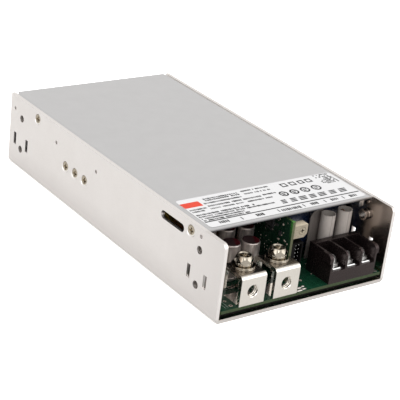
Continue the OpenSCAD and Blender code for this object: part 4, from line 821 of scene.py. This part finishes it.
STAND = Matrix(((0, 0, 1, 0), (1, 0, 0, 0), (0, 1, 0, 0), (0, 0, 0, 1)))
card_size = card_high - card_low
card_mid = (card_low + card_high) / 2
MARGINS = 12
domes("solder_small", card_size.y - MARGINS, card_size.z - MARGINS, spacing=1.5, density=1.1e5, small=0.22,
      large=0.42, seed=9, centre=(card_low.x, card_mid.y - 3, card_mid.z + 4), turn=STAND)
domes("solder_legs", 8, card_size.z - MARGINS, spacing=2.4, density=6e4, small=0.5, large=0.7, seed=3,
      centre=(card_low.x, card_low.y + 5, card_mid.z + 4), turn=STAND)

# %% [markdown]
# ## Tinned lands on the main board
# Under each terminal the board has a broad copper land that was dipped in tin, bright enough to mirror
# the metal above it, and a small tab shows beside the right wall. Lands could be painted on the board,
# but a plate with a finish of its own reflects better. A few flattened beads of solder lie between the
# terminals.

# %% Lands
board_low, board_high = box_mm("main_board")
BOARD_TOP = board_high.z
LAND_TOP = BOARD_TOP + 0.05
LAND_INSET = 0.5
LAND_FRONT = 2.3
LAND_BACK = 12.6
BEADS = ((-2.2, -98.7, 2.6, 0.7, 0.55), (1.0, -98.2, 1.8, 0.6, 0.5), (-0.6, -96.6, 2.0, 0.7, 0.6),
         (2.2, -96.0, 1.2, 0.6, 0.5))
tinned_land = Finish("tinned_land", (0.42, 0.385, 0.355), (0.58, 0.545, 0.51), (0.1, 0.22), metallic=0.85,
                     scale=500.0, bump=2e-6)
lands = bmesh.new()
for name in TERMINALS:
    low, high = box_mm(name)
    left, right = low.x + LAND_INSET, high.x - LAND_INSET
    near, far = low.y + LAND_FRONT, low.y + LAND_BACK
    plate(lands, [(left, near), (right, near), (right, far), (left, far)], BOARD_TOP, LAND_TOP)
plate(lands, oblong(47.4, -97.2, 2.0, 3.2), BOARD_TOP, LAND_TOP)
for x, y, w, d, h in BEADS:
    bead = Matrix.Translation(Vector((x, y, BOARD_TOP)) * MM) @ Matrix.Diagonal((w * MM, d * MM, h * MM, 1.0))
    for vert in bmesh.ops.create_icosphere(lands, subdivisions=3, radius=1.0, matrix=bead)["verts"]:
        for face in vert.link_faces:
            face.smooth = True
settle(new_piece("tinned_lands", lands, tinned_land))

# %% [markdown]
# ## Open holes, joints and print on the board
# A few open holes wear a tinned ring, round joints dot the strip near the front, and pale printed lines
# mark where parts stand. A real hole isn't needed for something so small: a dark plate on a bright one
# looks like it, a painted shade for the dark inside of the hole.

# %% Open holes and joints
HOLES = ((-31.0, -82.4, 4.2, 2.0), (-35.6, -82.6, 3.0, 1.8), (-42.1, -92.4, 1.6, 1.6),
         (-41.9, -96.9, 1.9, 1.9), (-44.6, -89.6, 1.5, 1.5), (5.2, -90.6, 1.6, 1.6))
RING_BOTH_SIDES = 0.9
ALMOST = 0.01
# Painted shade: the dark plate stands for the dark inside of each hole.
hole_shade = Finish("hole_shade", (0.002, 0.002, 0.002), (0.006, 0.005, 0.005), (0.6, 0.8), specular=0.2)
eyes = bmesh.new()
for x, y, w, h in HOLES:
    plate(eyes, round_corners(x, y, w, h, min(w, h) / 2 - ALMOST), BOARD_TOP, LAND_TOP)
    w, h = w - RING_BOTH_SIDES, h - RING_BOTH_SIDES
    for face in plate(eyes, round_corners(x, y, w, h, h / 2 - ALMOST), LAND_TOP, LAND_TOP + 0.02):
        face.material_index = 1
settle(new_piece("open_holes", eyes, solder_tin, hole_shade))
board_mid_x = (board_low.x + board_high.x) / 2
domes("board_joints", board_high.x - board_low.x - 4, 22, spacing=4.5, density=1.2e4, small=0.3, large=0.5,
      seed=21, centre=(board_mid_x, board_low.y + 12, BOARD_TOP), turn=Matrix.Identity(4))

# %% Board print
ink_pale = Finish("ink_pale", (0.3, 0.36, 0.31), (0.42, 0.48, 0.43), (0.5, 0.7), scale=2500.0)
marks = bmesh.new()
for x, y, w, h in ((-45.6, -94.0, 0.2, 8.0), (-43.9, -94.6, 0.2, 6.0)):
    plate(marks, oblong(x, y, w, h), BOARD_TOP, BOARD_TOP + 0.02)
settle(new_piece("board_print", marks, ink_pale))

# %% [markdown]
# ## Threads
# The side holes and the terminals are tapped, and a thread catches light in thin bright crescents. A bump
# of stripes would not break the hole's outline, so a thread is a spiral curve swept with a small square
# profile. One spiral is made, and instanced on a point at each hole, turned to the hole's axis.

# %% Thread tree
thread, given, out = start_tree("thread", [
    ("Radius", FLOAT), ("Length", FLOAT), ("Pitch", FLOAT), ("Ridge", FLOAT), ("Rotation", VECTOR),
    ("Metal", MATERIAL)])
turns = calc(thread, "DIVIDE", given["Length"], given["Pitch"])
spiral = wire(thread, "GeometryNodeCurveSpiral", None, {
    "Resolution": 24, "Rotations": turns, "Start Radius": given["Radius"], "End Radius": given["Radius"],
    "Height": given["Length"]}).outputs[0]
ridge = wire(thread, "GeometryNodeCurvePrimitiveCircle", None, {"Resolution": 4, "Radius": given["Ridge"]})
swept = wire(thread, "GeometryNodeCurveToMesh", None, {
    "Curve": spiral, "Profile Curve": ridge.outputs[0], "Fill Caps": True}).outputs[0]
placed = wire(thread, "GeometryNodeInstanceOnPoints", None, {
    "Points": given["Geometry"], "Instance": swept, "Rotation": given["Rotation"]}).outputs[0]
end_tree(thread, placed, given["Metal"], out)

# %% Side threads
SIDE_Y = (-82.1, 87.1)
SIDE_Z = (12.1, 30.1)
SIDE_INSET = 0.4
THROUGH = 3.6
side_x = (case_low.x + SIDE_INSET, case_high.x - SIDE_INSET - THROUGH)
side_taps = [(x * MM, y * MM, z * MM) for x in side_x for y in SIDE_Y for z in SIDE_Z]
thread_cut = Finish("thread_cut", (0.16, 0.145, 0.13), (0.34, 0.31, 0.29), (0.2, 0.35), metallic=1.0,
                    scale=1500.0)
settle(run_tree("side_threads", thread, {
    "Radius": 2.0 * MM, "Length": THROUGH * MM, "Pitch": 0.7 * MM, "Ridge": 0.32 * MM,
    "Rotation": (0.0, QUARTER, 0.0), "Metal": thread_cut.material}, side_taps))

# %% Terminal threads
TAP_HEIGHT = 7.1
TAP_INSET = 0.5
front_taps = []
for name in TERMINALS:
    low, high = box_mm(name)
    tap = Vector(((low.x + high.x) / 2, low.y + TAP_INSET, BOARD_TOP + TAP_HEIGHT))
    front_taps.append(tap * MM)
settle(run_tree("terminal_threads", thread, {
    "Radius": 3.0 * MM, "Length": 2.1 * MM, "Pitch": 1.0 * MM, "Ridge": 0.4 * MM,
    "Rotation": (-QUARTER, 0.0, 0.0), "Metal": terminal_nickel.material}, front_taps))

# %% [markdown]
# ## Tops of the capacitors
# Each bare can has a dark printed top with a dark red segment that marks its polarity. The print could be
# a mask on the can's finish, but five cans would need five centres, so it is a thin disc in two finishes,
# placed from the box of each can, and it follows the solid model.

# %% Printed can tops
CHORD = 0.35
TURN = math.radians(-25)
TOP_INSET = 0.45
PRINT_THICK = 0.03
top_dark = Finish("top_dark", (0.018, 0.009, 0.01), (0.075, 0.042, 0.043), (0.35, 0.5), scale=2200.0,
                  bump=8e-6)
top_red = Finish("top_red", (0.05, 0.004, 0.007), (0.1, 0.008, 0.013), (0.35, 0.5), scale=2200.0, bump=8e-6)
half = math.acos(CHORD)
SEGMENTS = ((half, 2 * math.pi - half, 36), (-half, half, 18))
tops = bmesh.new()
for name in CANS:
    low, high = box_mm(name)
    mid = (low + high) / 2
    r = (high.x - low.x) / 2 - TOP_INSET
    for finish, (start, end, steps) in enumerate(SEGMENTS):
        angles = [start + (end - start) * k / steps + TURN for k in range(steps + 1)]
        outline = [(mid.x + r * math.cos(a), mid.y + r * math.sin(a)) for a in angles]
        for face in plate(tops, outline, high.z, high.z + PRINT_THICK):
            face.material_index = finish
settle(new_piece("capacitor_tops", tops, top_dark, top_red))

# %% [markdown]
# ## Floor
# The object stands on a wide pale sheet. A plain white floor would throw too much light up into the
# metal, so this one glows a little by itself, like a light table, gives back only a part of what falls on
# it, and is painted nearly white for camera rays alone.

# %% Light table
FLOOR_WIDE = 30000
FLOOR_GLOW = 0.5
floor_pale = Finish("floor_pale", (0.2, 0.198, 0.195), (0.22, 0.218, 0.215), (0.6, 0.75), scale=30.0,
                    bump=1e-6, specular=0.1)
floor_pale.surface.inputs["Emission Color"].default_value = (1.0, 0.98, 0.955, 1.0)
floor_pale.surface.inputs["Emission Strength"].default_value = FLOOR_GLOW
ray = wire(floor_pale.tree, "ShaderNodeLightPath").outputs
floor_pale.paint(ray["Is Camera Ray"], (0.97, 0.97, 0.965))
sheet = bmesh.new()
plate(sheet, oblong(0, 0, FLOOR_WIDE, FLOOR_WIDE), -1.0, 0.0)
floor = new_piece("floor", sheet, floor_pale)
print("floor glows at", FLOOR_GLOW)

# %% [markdown]
# ## The room
# A product photograph of metal needs a white room, because metal shows what surrounds it. It also needs
# some darker places, or the metal loses its shape. A picture of a studio could be wrapped around it, but
# a plain colour is easier to tune. The room is bright where it is seen or mirrored, and dimmer as a lamp,
# which leaves the shading to the lamps below.

# %% White room
ROOM_AS_LAMP = 0.6
ROOM_IN_MIRRORS = 1.0
scene = bpy.context.scene
scene.view_settings.view_transform = "Standard"
room = bpy.data.worlds.new("white_room")
room.use_nodes = True
sky = room.node_tree.nodes["Background"]
sky.inputs["Color"].default_value = (1.0, 0.985, 0.965, 1.0)
ray = wire(room.node_tree, "ShaderNodeLightPath").outputs
seen = calc(room.node_tree, "MAXIMUM", ray["Is Glossy Ray"], ray["Is Camera Ray"])
glow = spread(room.node_tree, seen, 0.0, 1.0, ROOM_AS_LAMP, ROOM_IN_MIRRORS)
room.node_tree.links.new(glow, sky.inputs["Strength"])
scene.world = room
print("room strength:", ROOM_AS_LAMP, "as a lamp,", ROOM_IN_MIRRORS, "in mirrors")

# %% [markdown]
# ## Lamps
# A wide lamp above gives soft shade, and is kept out of reflections, where it would bleach the metal. Two
# smaller lamps stand at the left and in front. A card at the right does the opposite: it is seen in
# reflections alone, and brightens the faces that turn to the right. The flat cover would mirror a whole
# lamp, so light linking keeps the light of the card and of the small lamps off it, and the card's light
# off the label too.

# %% Soft lamps
def soft_lamp(name, at, aim, size, power):
    data = bpy.data.lights.new(name, "AREA")
    data.shape = "DISK"
    data.size = size
    data.energy = power
    lamp = bpy.data.objects.new(name, data)
    lamp.location = at
    lamp.rotation_euler = (Vector(aim) - Vector(at)).to_track_quat("-Z", "Y").to_euler()
    scene.collection.objects.link(lamp)
    print("%s: %.1f W, %.1f m wide" % (name, power, size))
    return lamp


def keep_out(lamp, *names):
    shaded = bpy.data.collections.new("out_of_" + lamp.name)
    for name in names:
        shaded.objects.link(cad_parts[name])
    lamp.light_linking.receiver_collection = shaded
    for item in shaded.collection_objects:
        item.light_linking.link_state = "EXCLUDE"


above_lamp = soft_lamp("above", at=(0.1, 0.2, 1.8), aim=(0, 0, 0), size=2.4, power=54.0)
above_lamp.visible_glossy = False
left_lamp = soft_lamp("left", at=(-1.3, -0.35, 0.7), aim=(0, -0.03, 0.02), size=1.0, power=4.0)
front_lamp = soft_lamp("front", at=(-0.55, -1.1, 0.9), aim=(0, -0.08, 0.02), size=0.7, power=4.0)
card_lamp = soft_lamp("card", at=(0.72, -0.92, 0.58), aim=(0, -0.09, 0.02), size=1.2, power=5.3)
card_lamp.visible_diffuse = False
keep_out(card_lamp, "cover", "blank_label")
keep_out(left_lamp, "cover")
keep_out(front_lamp, "cover")

# %% [markdown]
# ## Camera
# The camera is long and far away, so that the case's long edges converge only a little. It could be aimed
# with a Track To constraint, but that can't roll, so its matrix is built from its own right, up and back
# directions. The focal length is given in pixels of the square frame, and the lens follows from the
# sensor's width.

# %% Camera
AZIMUTH, ELEVATION, ROLL = (math.radians(v) for v in (-38.423, 24.359, 7.218))
TARGET = Vector((-6.354, -19.59, 20.0))
DISTANCE = 686.334
FRAME_PIXELS = 400
FOCAL_PIXELS = 1334.493
SENSOR = 36.0
back = Vector((math.sin(AZIMUTH) * math.cos(ELEVATION), -math.cos(AZIMUTH) * math.cos(ELEVATION),
               math.sin(ELEVATION)))
right = Vector((math.cos(AZIMUTH), math.sin(AZIMUTH), 0))
up = back.cross(right)
rolled_right = right * math.cos(ROLL) + up * math.sin(ROLL)
rolled_up = up * math.cos(ROLL) - right * math.sin(ROLL)
facing = Matrix((rolled_right, rolled_up, back)).transposed().to_4x4()
lens = bpy.data.cameras.new("camera")
lens.sensor_width = SENSOR
lens.lens = SENSOR * FOCAL_PIXELS / FRAME_PIXELS
lens.clip_start = 0.01
camera = bpy.data.objects.new("camera", lens)
camera.matrix_world = Matrix.Translation((TARGET + back * DISTANCE) * MM) @ facing
scene.collection.objects.link(camera)
scene.camera = camera
print("lens", round(lens.lens, 1), "mm")
